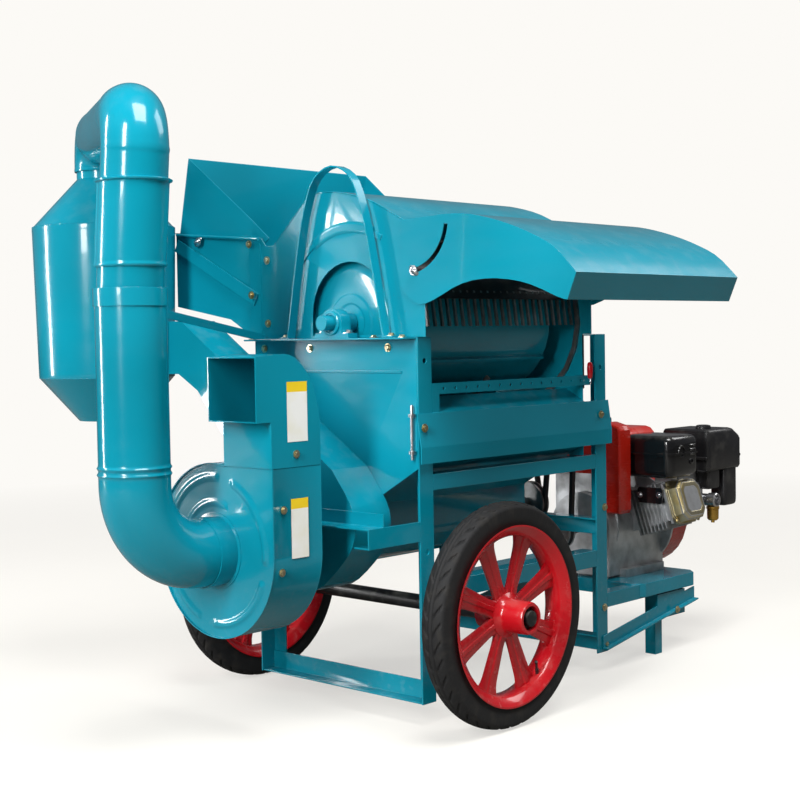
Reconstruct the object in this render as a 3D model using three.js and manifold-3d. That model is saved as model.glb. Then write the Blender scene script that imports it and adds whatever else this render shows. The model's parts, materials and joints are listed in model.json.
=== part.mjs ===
// Threshing machine on two wheels: a drum between end walls on an angle-iron frame, a feed hopper,
// a grain outlet under a swinging hood, two fans on one auger shaft, a dust cyclone and a petrol engine.
import * as THREE from "three";
import { mergeVertices } from "three/addons/utils/BufferGeometryUtils.js";
import Module from "manifold-3d";

const wasm = await Module();
wasm.setup();

// Driving dimensions in millimetres. X runs across the machine, Y along the drum away from the fans,
// Z up. Places count from the frame's front right foot corner: X 0 is its right face, Y 0 its front face.
const gap = 0.3;
const weld = 0.001;
const overrun = 4;
const sheet = 2;
const boltHole = 5;
const frame = {
  width: 433,
  depth: 573,
  height: 658,
  leg: 36,
  thick: 3,
  groundClear: 40,
  sideRailFoot: 383,
  sideRailLeg: 29,
  lowerRailFoot: 181,
  lowerRailLeg: 34,
  crossRailFoot: 243,
  topFlange: 38,
};
const postHoleShares = { front: [0.416, 0.936], rear: [0.14, 0.897] };
const chamber = {
  length: 500,
  crown: 930,
  crownX: -268,
  valley: 863,
  valleyX: -26,
  left: -442,
  strip: 32,
  stripTop: 856,
  notchX: -371,
  notchZ: 840,
  right: 19,
  rightTop: 723,
  foot: 14,
  bead: 10,
  beadRise: 2,
};
const drum = { x: -185, z: 686, radius: 140, start: 24, end: 445, shaft: 14, shell: 3, rows: 6, tooth: 8, front: -58 };
const drumPulley = { radius: 88, smallRadius: 56, width: 22, from: 580, groove: 9, hub: 30 };
const grate = { radius: 168, bar: 5, count: 24, fromDeg: -3, toDeg: 62, lowBars: 9, lowFromDeg: 165, lowToDeg: 322 };
const doorway = { x: -168, halfWidth: 100, foot: 663, top: 799 };
const guard = { halfWidth: 127, apex: 975, strap: 3, width: 20, front: -27, tab: 22 };
const bearing = { radius: 27, width: 24, foot: 88, footHeight: 9, front: -20 };
const hood = {
  pivotX: -20,
  pivotZ: 867,
  reachX: 348,
  lipTop: 759,
  lipFoot: 715,
  slotRadius: 93,
  slotWidth: 9,
  slotFromDeg: -80,
  slotToDeg: -8,
};
const hopper = {
  left: -655,
  right: -412,
  lipLeft: 880,
  lipRight: 855,
  floorLeft: 728,
  floorBendX: -502,
  floorBend: 699,
  floorRight: 662,
  seatX: -397.5,
  cheekTopX: -617,
  cheekTop: 1030,
  cheekFoot: 848,
  cheekEnd: -392,
  pivotX: -436,
  pivotZ: 845,
  pivotPin: 5,
  lip: 4,
  flare: 0.08,
};
const stay = { width: 26, thick: 4 };
const chute = {
  crossTop: 575,
  crossFoot: 555,
  crossFrom: 36.5,
  crossTo: 519,
  slopeTop: 547,
  slopeFoot: 520,
  slopeRun: 46,
  plateTop: 518,
  fold: 462,
  foot: 433,
  ear: 6,
  proud: 9,
  holes: 14,
  holeRadius: 3,
};
const funnel = { top: 655, bead: 594, beadHeight: 4, edge: 8, rightZ: 434, slopeX: 60, slopeZ: 348, trough: 60, lip: 12 };
const auger = { z: 294, shaft: 12, radius: 50, flight: 3, pitch: 66, turns: 7, start: 14, front: -280, end: 606 };
const suction = { front: -293, back: -181, radius: 153, collar: 34, ductLeft: -186, ductTop: 443 };
const elbow = { front: -325, foot: 521, top: 634, bendZ: 500, bendY: -262 };
const suctionWheel = { radius: 120, hub: 24, from: -270, to: -200, blades: 6, blade: 4 };
const thrower = { radius: 156, exitUpperX: -318, exitUpperZ: 547, exitLowerX: -380, exitLowerZ: 421 };
const throwWheel = { radius: 80, hub: 22, from: -82, to: -14, blades: 4, blade: 5 };
const throwDuct = { upperX: -549, upperZ: 697, lowerX: -502, lowerZ: 560, mouthFoot: 592, foldX: -560 };
const cyclone = {
  x: -712,
  y: -153,
  bodyTop: 886,
  bodyFoot: 590,
  radiusTop: 142,
  radiusFoot: 135,
  coneFoot: 500,
  neckFoot: 983,
  neckTop: 1012,
};
const pipe = {
  y: -458,
  radius: 59,
  upperRadius: 56,
  bend: 129,
  beadFoot: 439,
  bead: 15,
  beadRise: 2.5,
  wall: 2.2,
  clampZ: 731,
  clampHeight: 30,
  sleeveFoot: 811,
  sleeveTop: 941,
  lean: 22,
  archFoot: 970,
  elbow: 60,
  end: 1003,
};
const fanArm = { foot: 294, leg: 36, reach: -132, crossFoot: 327, crossTop: 353, crossFace: -92 };
const fanPulley = { radius: 46 };
const axle = { y: 98, z: 162, radius: 14, end: 172 };
const wheel = {
  tyreRadius: 202.5,
  tyreWidth: 50,
  rimRadius: 162,
  rimWidth: 58,
  centre: 110,
  wellRadius: 146,
  hubRadius: 31,
  hubInner: 62,
  hubOuter: 170,
  spokes: 8,
  spokeWidth: 34,
  spokeThick: 6,
};
const tray = { proud: 9, from: 680, to: 915, foot: 95, top: 124, corner: 22, armLeg: 30, armTo: 905 };
const prop = { fromY: 553, fromZ: 6, toY: 905, toZ: 62, band: 28, legY: 769, legSide: 26, plateFrom: 756, plateTo: 865 };
const engine = {
  crankX: -155,
  crankZ: 232,
  caseFront: 694,
  caseBack: 905,
  footTop: 142,
  footHalf: 92,
  footFrom: 736,
  footTo: 885,
  caseRadius: 78,
  tilt: 18,
  boreY: 825,
  boreHalf: 44,
  boreWide: 50,
  finFrom: 92,
  fins: 8,
  fin: 3,
  finPitch: 10,
  finRise: 12,
  headTo: 184,
  coverTo: 216,
  coverHalf: 48,
  seal: 30,
};
const crank = { radius: 10, pulley: 38, end: 600, inset: 8 };
const recoil = { radius: 106, from: 905.3, to: 1000, wall: 3, louvres: 10, nose: 40 };
const muffler = { left: -84, right: 50, front: 741, back: 861, foot: 345, top: 437, corner: 14 };
const filter = { left: -92, right: 30, front: 925, back: 1069, foot: 345, top: 440, corner: 12, snout: 40 };
const tank = { left: -268, right: -96, front: 700, back: 905, foot: 352, top: 447, corner: 26, capRadius: 27, capTop: 475 };
const belt = { width: 11, thick: 8 };
const lever = { y: 509, z: 562, grip: 7, gripLength: 34, reach: 34, rod: 4 };

// Colours of the enamel, the tyres and the engine.
const finishes = {
  enamel: { color: 0x1e96a8, roughness: 0.32, metalness: 0.1 },
  red: { color: 0xc8141c, roughness: 0.3, metalness: 0.1 },
  tyre: { color: 0x1c1c1e, roughness: 0.85, metalness: 0 },
  steel: { color: 0x4a4d50, roughness: 0.5, metalness: 0.8 },
  black: { color: 0x18181a, roughness: 0.45, metalness: 0.1 },
  alloy: { color: 0xb4b6b8, roughness: 0.42, metalness: 0.85 },
  orange: { color: 0xd83a12, roughness: 0.35, metalness: 0.1 },
};
const half = 0.5;
const fine = 30;
const coarse = 16;
const turn = 2 * Math.PI;
const degree = Math.PI / 180;

// Solids from geometries, joined and cut.
function solidFrom(geometry) {
  const bare = geometry.clone();
  bare.deleteAttribute("normal");
  bare.deleteAttribute("uv");
  const merged = mergeVertices(bare, weld);
  const corners = merged.index.array;
  const triangles = [];
  for (let i = 0; i < corners.length; i += 3) {
    const [a, b, c] = corners.slice(i, i + 3);
    if (a !== b && b !== c && c !== a) triangles.push(a, b, c);
  }
  const vertProperties = new Float32Array(merged.attributes.position.array);
  const make = (list) =>
    new wasm.Manifold(new wasm.Mesh({ numProp: 3, vertProperties, triVerts: new Uint32Array(list) }));
  const made = make(triangles);
  return made.volume() < 0 ? make(triangles.reverse()) : made;
}

function join(...pieces) {
  return pieces.flat().reduce((all, piece) => all.add(piece));
}

function cut(body, ...tools) {
  return tools.flat().reduce((left, tool) => left.subtract(tool), body);
}

function meshOf(name, solid, finish, place = [0, 0, 0]) {
  const made = solid.getMesh();
  const stride = made.numProp;
  const positions = new Float32Array(made.numVert * 3);
  for (let i = 0; i < made.numVert; i++) {
    positions.set(made.vertProperties.subarray(i * stride, i * stride + 3), i * 3);
  }
  const geometry = new THREE.BufferGeometry();
  geometry.setAttribute("position", new THREE.BufferAttribute(positions, 3));
  geometry.setIndex(new THREE.BufferAttribute(made.triVerts, 1));
  geometry.computeVertexNormals();
  const mesh = new THREE.Mesh(geometry, new THREE.MeshStandardMaterial(finishes[finish]));
  mesh.name = name;
  mesh.position.set(...place);
  return mesh;
}

// An outline drawn in one of the three planes and carried from low to high along the third axis.
const planes = {
  X: new THREE.Matrix4().set(0, 0, 1, 0, 1, 0, 0, 0, 0, 1, 0, 0, 0, 0, 0, 1),
  Y: new THREE.Matrix4().set(1, 0, 0, 0, 0, 0, -1, 0, 0, 1, 0, 0, 0, 0, 0, 1),
  Z: new THREE.Matrix4(),
};

function shapeOf(points, holes = []) {
  const shape = new THREE.Shape(points.map(([u, v]) => new THREE.Vector2(u, v)));
  shape.holes = holes.map((hole) => new THREE.Path(hole.map(([u, v]) => new THREE.Vector2(u, v))));
  return shape;
}

function slab(axis, points, low, high, holes = []) {
  const geometry = new THREE.ExtrudeGeometry(shapeOf(points, holes), {
    depth: high - low,
    bevelEnabled: false,
    curveSegments: coarse,
  });
  geometry.translate(0, 0, axis === "Y" ? -high : low);
  return solidFrom(geometry.applyMatrix4(planes[axis]));
}

function box(low, high) {
  const size = high.map((value, i) => value - low[i]);
  const geometry = new THREE.BoxGeometry(...size);
  geometry.translate(...size.map((value, i) => low[i] + value * half));
  return solidFrom(geometry);
}

// A profile of [radius, height] turned about an axis through a place.
const turned = {
  X: (geometry) => geometry.rotateZ(-Math.PI * half),
  Y: (geometry) => geometry,
  Z: (geometry) => geometry.rotateX(Math.PI * half),
};

function revolve(axis, profile, place, segments = fine) {
  const geometry = new THREE.LatheGeometry(profile.map(([r, h]) => new THREE.Vector2(r, h)), segments);
  return solidFrom(turned[axis](geometry).translate(...place));
}

function rod(axis, radius, from, to, place, segments = coarse) {
  return revolve(axis, [[0, from], [radius, from], [radius, to], [0, to]], place, segments);
}

function tube(axis, inner, outer, from, to, place, segments = fine) {
  const profile = [[inner, from], [outer, from], [outer, to], [inner, to], [inner, from]];
  return revolve(axis, profile, place, segments);
}

// A round pipe or rod along points in one plane; across is that plane's normal.
function tubeAlong(points, across, radii, sides = 24) {
  const last = points.length - 1;
  const positions = [];
  points.forEach((point, i) => {
    const along = points[Math.min(i + 1, last)].clone().sub(points[Math.max(i - 1, 0)]).normalize();
    const up = across.clone().cross(along);
    for (const radius of radii) {
      for (let k = 0; k < sides; k++) {
        const angle = (turn * k) / sides;
        const corner = point.clone().addScaledVector(across, radius * Math.cos(angle));
        positions.push(...corner.addScaledVector(up, radius * Math.sin(angle)).toArray());
      }
    }
  });
  const at = (i, ring, k) => (i * 2 + ring) * sides + (k % sides);
  const index = [];
  const quad = (a, b, c, d) => index.push(a, b, c, a, c, d);
  for (let k = 0; k < sides; k++) {
    for (let i = 0; i < last; i++) {
      quad(at(i, 0, k), at(i, 0, k + 1), at(i + 1, 0, k + 1), at(i + 1, 0, k));
      quad(at(i, 1, k + 1), at(i, 1, k), at(i + 1, 1, k), at(i + 1, 1, k + 1));
    }
    quad(at(0, 0, k + 1), at(0, 0, k), at(0, 1, k), at(0, 1, k + 1));
    quad(at(last, 0, k), at(last, 0, k + 1), at(last, 1, k + 1), at(last, 1, k));
  }
  const geometry = new THREE.BufferGeometry();
  geometry.setAttribute("position", new THREE.Float32BufferAttribute(positions, 3));
  geometry.setIndex(index);
  return solidFrom(geometry);
}

function circle(radius, count = coarse, centre = [0, 0], from = 0) {
  return Array.from({ length: count }, (unused, i) => {
    const angle = from + (turn * i) / count;
    return [centre[0] + radius * Math.cos(angle), centre[1] + radius * Math.sin(angle)];
  });
}

function arc(centre, radius, fromDeg, toDeg, count) {
  return Array.from({ length: count + 1 }, (unused, i) => {
    const angle = (fromDeg + ((toDeg - fromDeg) * i) / count) * degree;
    return [centre[0] + radius * Math.cos(angle), centre[1] + radius * Math.sin(angle)];
  });
}

function smooth(points, count) {
  const curve = new THREE.SplineCurve(points.map(([u, v]) => new THREE.Vector2(u, v)));
  return curve.getPoints(count).map((p) => [p.x, p.y]);
}

// The same path moved sideways to its left by a distance.
function offset(path, distance) {
  return path.map((point, i) => {
    const before = path[Math.max(i - 1, 0)];
    const after = path[Math.min(i + 1, path.length - 1)];
    const along = new THREE.Vector2(after[0] - before[0], after[1] - before[1]).normalize();
    return [point[0] - along.y * distance, point[1] + along.x * distance];
  });
}

// A bent sheet seen from its edge: the path with the sheet's thickness on its left.
function ribbon(path, thick) {
  return [...path, ...offset(path, thick).reverse()];
}

// A sheet box with open mouths: walls along counterclockwise paths and a plate at each end.
function casing(axis, paths, low, high) {
  const walls = paths.map((path) => slab(axis, ribbon(path, sheet), low, high));
  const plates = [low, high - sheet].map((from) => slab(axis, paths.flat(), from, from + sheet));
  return join(walls, plates);
}

// An angle bar: its section's corner, the signs of its two legs and its length.
function angleBar(axis, corner, legs, from, to, leg = frame.leg, otherLeg = leg) {
  const [u, v] = corner;
  const [a, b] = legs;
  const t = frame.thick;
  const outline = [
    [u, v],
    [u + a * leg, v],
    [u + a * leg, v + b * t],
    [u + a * t, v + b * t],
    [u + a * t, v + b * otherLeg],
    [u, v + b * otherLeg],
  ];
  return slab(axis, outline, from, to);
}

const middleX = -frame.width * half;
const left = -frame.width;

// Frame: four posts and the rails between them.
function post(name, x, y, side, holes) {
  let solid = angleBar("Z", [0, 0], [side, -1], 0, frame.height);
  for (const share of holes) {
    const place = [0, -frame.leg * half, share * frame.height];
    solid = cut(solid, rod("X", boltHole, -frame.thick - overrun, frame.thick + overrun, place, 10));
  }
  return meshOf(name, solid, "enamel", [x, y, 0]);
}

const frameGroup = new THREE.Group();
frameGroup.add(
  post("post_front_right", 0, frame.leg, -1, postHoleShares.front),
  post("post_front_left", left, frame.leg, 1, postHoleShares.front),
  post("post_rear_right", 0, frame.depth, -1, postHoleShares.rear),
  post("post_rear_left", left, frame.depth, 1, postHoleShares.rear),
);
const railLow = left + frame.thick + gap;
const railHigh = -frame.thick - gap;
const frontFlange = sheet + gap;
const railDeep = frame.leg - frame.thick - frontFlange - gap;
const sideFrom = frame.leg + gap;
const sideTo = frame.depth - frame.leg - gap;
const rearWallFace = chamber.length;
const shelfLeg = frame.depth - frame.leg - rearWallFace - 2 * gap;

function rail(name, axis, corner, legs, from, to, leg, otherLeg) {
  return meshOf(name, angleBar(axis, corner, legs, from, to, leg, otherLeg), "enamel");
}

frameGroup.add(
  rail("top_rail_front", "X", [frontFlange + frame.thick, frame.height], [-1, -1], railLow, railHigh,
    frame.topFlange, frame.leg),
  rail("top_rail_rear", "X", [rearWallFace + gap, frame.height], [1, -1], railLow, railHigh, shelfLeg, frame.leg),
  rail("top_rail_left", "Y", [left, frame.height], [1, -1], sideFrom, rearWallFace),
);
for (const [side, x, sign] of [["right", 0, -1], ["left", left, 1]]) {
  const long = frame.leg;
  const top = frame.sideRailFoot + frame.sideRailLeg;
  const lowTop = frame.lowerRailFoot + frame.lowerRailLeg;
  const lower = angleBar("Y", [x, lowTop], [sign, -1], sideFrom, sideTo, long, frame.lowerRailLeg);
  const inner = x + sign * long;
  const saddle = box(
    [Math.min(x, inner), axle.y - axle.radius, axle.z + axle.radius + gap],
    [Math.max(x, inner), axle.y + axle.radius, frame.lowerRailFoot + frame.thick],
  );
  frameGroup.add(
    rail("side_rail_" + side, "Y", [x, top], [sign, -1], sideFrom, sideTo, long, frame.sideRailLeg),
    meshOf("lower_rail_" + side, join(lower, saddle), "enamel"),
  );
}
const rearFlange = frame.depth - frame.thick - gap;
const crossTop = frame.crossRailFoot + frame.leg;
frameGroup.add(
  rail("bottom_rail_front", "X", [frame.leg - frame.thick - gap, 0], [-1, 1], railLow, railHigh,
    railDeep, frame.leg),
  rail("bottom_rail_rear", "X", [rearFlange, frame.leg], [-1, -1], railLow, railHigh, railDeep, frame.leg),
  rail("rear_cross_rail", "X", [rearFlange, crossTop], [-1, -1], railLow, railHigh, railDeep, frame.leg),
);

// Fan bracket: an arm at each side of the front posts and a crossbar on their ends.
function fanBracket() {
  const armTo = -gap;
  const right = angleBar("Y", [0, fanArm.foot], [-1, 1], fanArm.reach, armTo, fanArm.leg, fanArm.leg);
  const other = angleBar("Y", [left, fanArm.foot], [1, 1], fanArm.reach, armTo, fanArm.leg, fanArm.leg);
  const deep = fanArm.crossFace - fanArm.reach;
  const cross = angleBar("X", [fanArm.crossFace, fanArm.crossFoot], [-1, 1], left, 0, deep,
    fanArm.crossTop - fanArm.crossFoot);
  return join(right, other, cross);
}

frameGroup.add(meshOf("fan_bracket", fanBracket(), "enamel"));

// Wheels on one axle across the frame.
const axlePlace = [middleX, axle.y, axle.z];
const wheelReach = wheel.centre - middleX;

function tyreSolid() {
  const w = wheel.tyreWidth * half;
  const well = wheel.rimWidth * half * half;
  const slope = (wheel.rimRadius - wheel.wellRadius) / well;
  const shoulder = wheel.tyreRadius - w * half;
  const bulge = arc([shoulder, 0], w, -90, 90, 8).map(([r, y]) => [
    shoulder + (r - shoulder) * half * ((wheel.tyreRadius - shoulder) / (w * half)),
    y,
  ]);
  const sideShare = 0.8;
  const side = w * sideShare;
  const seat = wheel.wellRadius + (side - well) * slope + 2 * gap;
  const beads = [[seat, side], [wheel.wellRadius + gap, well - gap], [wheel.wellRadius + gap, gap - well],
    [seat, -side]];
  return revolve("X", [...bulge, ...beads, bulge[0]], [0, 0, 0], fine);
}

function rimSolid() {
  const w = wheel.rimWidth * half;
  const r = wheel.rimRadius;
  const t = 2 * sheet;
  const well = wheel.wellRadius;
  const outer = [[r, -w], [well, -w * half], [well, w * half], [r, w]];
  const inner = [[r - t, w], [well - t, w * half], [well - t, -w * half], [r - t, -w]];
  const rim = revolve("X", [...outer, ...inner, outer[0]], [0, 0, 0], fine);
  const hubFrom = wheel.hubInner - wheel.centre;
  const hubTo = wheel.hubOuter - wheel.centre;
  const hub = rod("X", wheel.hubRadius, hubFrom, hubTo, [0, 0, 0], 20);
  const cup = rod("X", wheel.hubRadius - 2 * sheet, hubTo - wheel.hubRadius * half, hubTo + overrun, [0, 0, 0], 20);
  const bore = rod("X", axle.radius + gap, hubFrom - overrun, hubTo + overrun, [0, 0, 0], 24);
  const spokes = [];
  for (let i = 0; i < wheel.spokes; i++) {
    const blank = new THREE.BoxGeometry(wheel.spokeWidth, wheel.spokeThick, well - wheel.hubRadius);
    blank.translate(0, 0, (well + wheel.hubRadius) * half - sheet);
    blank.rotateX((turn * (i + half)) / wheel.spokes);
    spokes.push(solidFrom(blank));
  }
  return cut(join(rim, hub, spokes), bore, cup);
}

const wheelGroup = new THREE.Group();
wheelGroup.position.set(...axlePlace);
const axleHalf = axle.end - middleX;
wheelGroup.add(meshOf("axle", rod("X", axle.radius, -axleHalf, axleHalf, [0, 0, 0], 24), "black"));
for (const [side, sign] of [["right", 1], ["left", -1]]) {
  const pair = new THREE.Group();
  pair.position.set(sign * wheelReach, 0, 0);
  pair.rotation.z = sign > 0 ? 0 : Math.PI;
  pair.add(meshOf("wheel_rim_" + side, rimSolid(), "red"), meshOf("tyre_" + side, tyreSolid(), "tyre"));
  wheelGroup.add(pair);
}

// Threshing chamber: end walls, arched cover, grate, drum and its bearings.
const crownShares = [[0, 1], [0.22, 0.99], [0.413, 0.881], [0.674, 0.597], [1, 0]];
const crownPath = smooth(
  crownShares.map(([across, up]) => [
    chamber.crownX + across * (chamber.valleyX - chamber.crownX),
    chamber.valley + up * (chamber.crown - chamber.valley),
  ]),
  12,
);
const roofPath = [[chamber.notchX, chamber.notchZ], ...crownPath];
const shoulderX = chamber.left + chamber.strip;
const wallTop = [
  [chamber.right, chamber.rightTop],
  ...roofPath.slice().reverse(),
  [shoulderX + chamber.foot, chamber.notchZ],
  [shoulderX, chamber.stripTop],
];
const drumPlace = [drum.x, 0, drum.z];

function doorwayHole() {
  const spring = doorway.top - doorway.halfWidth;
  return [
    ...arc([doorway.x, spring], doorway.halfWidth, 0, 180, 16),
    [doorway.x - doorway.halfWidth, doorway.foot],
    [doorway.x + doorway.halfWidth, doorway.foot],
  ];
}

const beadFromDeg = 55;
const beadToDeg = 150;

function archBead(face) {
  const wide = doorway.halfWidth * 1.5;
  const rise = chamber.valley - doorway.top + doorway.halfWidth * half;
  const path = arc([0, 0], 1, beadFromDeg, beadToDeg, 16).map(([u, v]) => [
    doorway.x + u * wide,
    doorway.top - doorway.halfWidth * half + v * rise,
  ]);
  return slab("Y", ribbon(path, chamber.bead), face - chamber.beadRise, face + sheet * half);
}

function wallSides() {
  const corner = arc([shoulderX, chamber.stripTop - chamber.strip], chamber.strip, 90, 180, 6).slice(1);
  return [...wallTop, ...corner, [chamber.left, frame.height + gap]];
}

function frontWall() {
  const outline = [...wallSides(), [chamber.right, frame.height + gap]];
  return join(slab("Y", outline, 0, sheet, [doorwayHole()]), archBead(0));
}

function rearWall() {
  const foot = frame.sideRailFoot + frame.sideRailLeg + gap;
  const top = frame.height + gap;
  const inner = left + frame.leg + gap;
  const railFoot = frame.height - frame.leg - gap;
  const outline = [
    ...wallSides(),
    [inner, top],
    [inner, railFoot],
    [railLow, railFoot],
    [railLow, foot],
    [railHigh, foot],
    [railHigh, top],
    [chamber.right, top],
  ];
  const hole = circle(drum.shaft + sheet, coarse, [drum.x, drum.z]);
  return slab("Y", outline, rearWallFace - sheet, rearWallFace, [hole]);
}

function drumCover() {
  return slab("Y", ribbon(offset(roofPath, gap), sheet), 0, chamber.length);
}

function ringBar(inner, outer, fromDeg, toDeg, from, to, count) {
  const outline = [
    ...arc([drum.x, drum.z], outer, fromDeg, toDeg, count),
    ...arc([drum.x, drum.z], inner, fromDeg, toDeg, count).reverse(),
  ];
  return slab("Y", outline, from, to);
}

// Screen round the drum: low bars along it, ribs round it and a comb of curved bars over the outlet.
function grateSolid() {
  const from = frontFlange + frame.thick + gap;
  const to = rearWallFace - sheet - gap;
  const inner = grate.radius;
  const outer = inner + grate.bar;
  const whole = [grate.lowFromDeg, grate.toDeg + 360];
  const ribs = [from, (from + to) * half, to - grate.bar].map((y, i) =>
    ringBar(inner, outer + grate.bar, whole[0], i === 1 ? grate.lowToDeg : whole[1], y, y + grate.bar, 16),
  );
  const bars = [];
  for (let i = 0; i < grate.lowBars; i++) {
    const deg = grate.lowFromDeg + ((grate.lowToDeg - grate.lowFromDeg) * (i + half)) / grate.lowBars;
    bars.push(ringBar(inner, outer, deg - 1, deg + 1, from, to, 1));
  }
  const carrier = ringBar(inner, outer + grate.bar, grate.toDeg - 2, grate.toDeg, from, to, 1);
  const pitch = (to - from) / (grate.count + 1);
  for (let i = 1; i <= grate.count; i++) {
    const y = from + i * pitch;
    bars.push(ringBar(inner, outer, grate.fromDeg, grate.toDeg, y - grate.bar * half, y + grate.bar * half, 3));
  }
  return join(ribs, carrier, bars);
}

function drumSolid() {
  const r = drum.radius;
  const t = drum.shell;
  const at = [0, 0, 0];
  const end = drumPulley.from + 2 * drumPulley.width;
  const shell = tube("Y", r - t, r, drum.start, drum.end, at, 32);
  const discs = [drum.start + 2 * t, drum.end - 3 * t].map((y) => rod("Y", r - t * half, y, y + t, at, 32));
  const shaft = rod("Y", drum.shaft, drum.front, end, at, 24);
  const holes = circle(r * 0.6, 4).map(([x, z]) => rod("Y", r / 8, drum.start, drum.end, [x, 0, z], 12));
  const teeth = [];
  for (let row = 0; row < drum.rows; row++) {
    const blank = new THREE.BoxGeometry(t * 2, drum.end - drum.start - 4 * t, drum.tooth + t);
    blank.translate(0, (drum.start + drum.end) * half, r + (drum.tooth - t) * half);
    blank.rotateY((turn * row) / drum.rows);
    teeth.push(solidFrom(blank));
  }
  return cut(join(shell, discs, shaft, teeth), holes);
}

function grooved(radius, from, to) {
  const middle = (from + to) * half;
  const w = belt.width * half + gap;
  const bottom = radius - drumPulley.groove;
  return [[radius, from], [radius, middle - w], [bottom, middle - w], [bottom, middle + w], [radius, middle + w],
    [radius, to]];
}

function drumPulleySolid() {
  const from = drumPulley.from;
  const middle = from + drumPulley.width;
  const to = middle + drumPulley.width;
  const bore = drum.shaft + gap;
  const profile = [
    [bore, from],
    ...grooved(drumPulley.smallRadius, from, middle),
    ...grooved(drumPulley.radius, middle, to),
    [drumPulley.radius - 2 * drumPulley.groove, to],
    [drumPulley.radius - 2 * drumPulley.groove, middle + drumPulley.groove],
    [drumPulley.hub, middle + drumPulley.groove],
    [drumPulley.hub, to],
    [bore, to],
    [bore, from],
  ];
  return revolve("Y", profile, [0, 0, 0], 24);
}

// Pillow block: a foot on the rail, a round housing over the shaft and a web between them.
function bearingSolid() {
  const seat = frame.height - drum.z + gap;
  const w = bearing.width * half;
  const footHalf = bearing.foot * half;
  const foot = box([-footHalf, -w, seat], [footHalf, w, seat + bearing.footHeight]);
  const web = box([-bearing.radius, -w, seat], [bearing.radius, w, 0]);
  const housing = rod("Y", bearing.radius, -w, w, [0, 0, 0], 32);
  const bore = rod("Y", drum.shaft + gap, -2 * w, 2 * w, [0, 0, 0], 32);
  return cut(join(foot, web, housing), bore);
}

// Strap arch that guards the front bearing.
const guardShares = [[1, 0], [0.74, 0.53], [0.56, 0.79], [0.36, 0.94], [0, 1]];

function guardSolid() {
  const foot = frame.height + gap;
  const rise = guard.apex - foot;
  const mirrored = guardShares.slice(0, -1).map(([across, up]) => [-across, up]).reverse();
  const outer = smooth(
    [...guardShares, ...mirrored].map(([across, up]) => [drum.x + across * guard.halfWidth, foot + up * rise]),
    24,
  );
  const inner = offset(outer, guard.strap).reverse();
  inner[0] = [inner[0][0], foot];
  inner[inner.length - 1] = [inner[inner.length - 1][0], foot];
  const back = guard.front + guard.width;
  const tabs = [-1, 1].map((side) => {
    const near = drum.x + side * (guard.halfWidth - guard.strap * half);
    const far = drum.x + side * (guard.halfWidth + guard.tab);
    return box([Math.min(near, far), guard.front, foot], [Math.max(near, far), back, foot + guard.strap]);
  });
  return join(slab("Y", [...outer, ...inner], guard.front, back), tabs);
}

const chamberGroup = new THREE.Group();
const rearBearingY = rearWallFace + frame.thick + bearing.width * half;
chamberGroup.add(
  meshOf("end_wall_front", frontWall(), "enamel"),
  meshOf("end_wall_rear", rearWall(), "enamel"),
  meshOf("drum_cover", drumCover(), "enamel"),
  meshOf("concave_grate", grateSolid(), "steel"),
  meshOf("threshing_drum", drumSolid(), "enamel", drumPlace),
  meshOf("drum_pulley", drumPulleySolid(), "steel", drumPlace),
  meshOf("drum_bearing_front", bearingSolid(), "enamel", [drum.x, bearing.front, drum.z]),
  meshOf("drum_bearing_rear", bearingSolid(), "enamel", [drum.x, rearBearingY, drum.z]),
  meshOf("bearing_guard", guardSolid(), "enamel"),
);

// Hood over the outlet, drawn about its hinge: side plates, bent top sheet and a lip.
const hoodTopShares = [[0.016, 0.004], [0.13, 0.01], [0.25, 0.02], [0.38, 0], [0.51, -0.065], [0.65, -0.17],
  [0.78, -0.3], [0.89, -0.45], [1, -0.711]];
const hoodFootShares = [[0.95, -1], [0.9, -0.97], [0.77, -0.84], [0.66, -0.77], [0.53, -0.735], [0.4, -0.75],
  [0.29, -0.82], [0.187, -0.93], [0.09, -1], [0.038, -0.96], [-0.015, -0.87], [-0.04, -0.81]];

function hoodSolid() {
  const reach = hood.reachX - hood.pivotX;
  const drop = hood.pivotZ - hood.lipFoot;
  const scaled = (shares) => shares.map(([across, up]) => [across * reach, up * drop]);
  const top = smooth(scaled(hoodTopShares), 20);
  const foot = smooth(scaled(hoodFootShares), 20);
  const face = [[-chamber.foot, 0], ...top, ...foot];
  const slot = [
    ...arc([0, 0], hood.slotRadius + hood.slotWidth * half, hood.slotFromDeg, hood.slotToDeg, 14),
    ...arc([0, 0], hood.slotRadius - hood.slotWidth * half, hood.slotFromDeg, hood.slotToDeg, 14).reverse(),
  ];
  const front = -gap - sheet;
  const back = rearWallFace + gap;
  const cover = slab("Y", ribbon(top, -sheet), front, back + sheet);
  const lip = slab("Y", ribbon([top[top.length - 1], foot[0]], -sheet), front, back + sheet);
  const plates = [front, back].map((y) => slab("Y", face, y, y + sheet, [slot]));
  return join(cover, lip, plates);
}

const hoodGroup = new THREE.Group();
hoodGroup.position.set(hood.pivotX, 0, hood.pivotZ);
hoodGroup.add(meshOf("hood", hoodSolid(), "enamel"));

// Feed hopper: a tray that flares away from the drum and a hinged upper part inside its sides.
const hopperMouth = chamber.left - gap;
const hopperFlare = (hopperMouth - hopper.left) * hopper.flare;

function flared(xNear, inset) {
  const low = sheet + gap + inset;
  const high = rearWallFace - sheet - gap - inset;
  const far = hopper.left - inset - hopper.lip;
  const wide = (hopperMouth - far) * hopper.flare;
  const outline = [[xNear, low], [hopperMouth, low], [far, low - wide], [far, high + wide], [hopperMouth, high],
    [xNear, high]];
  return slab("Z", outline, 0, hopper.cheekTop + frame.height);
}

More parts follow.
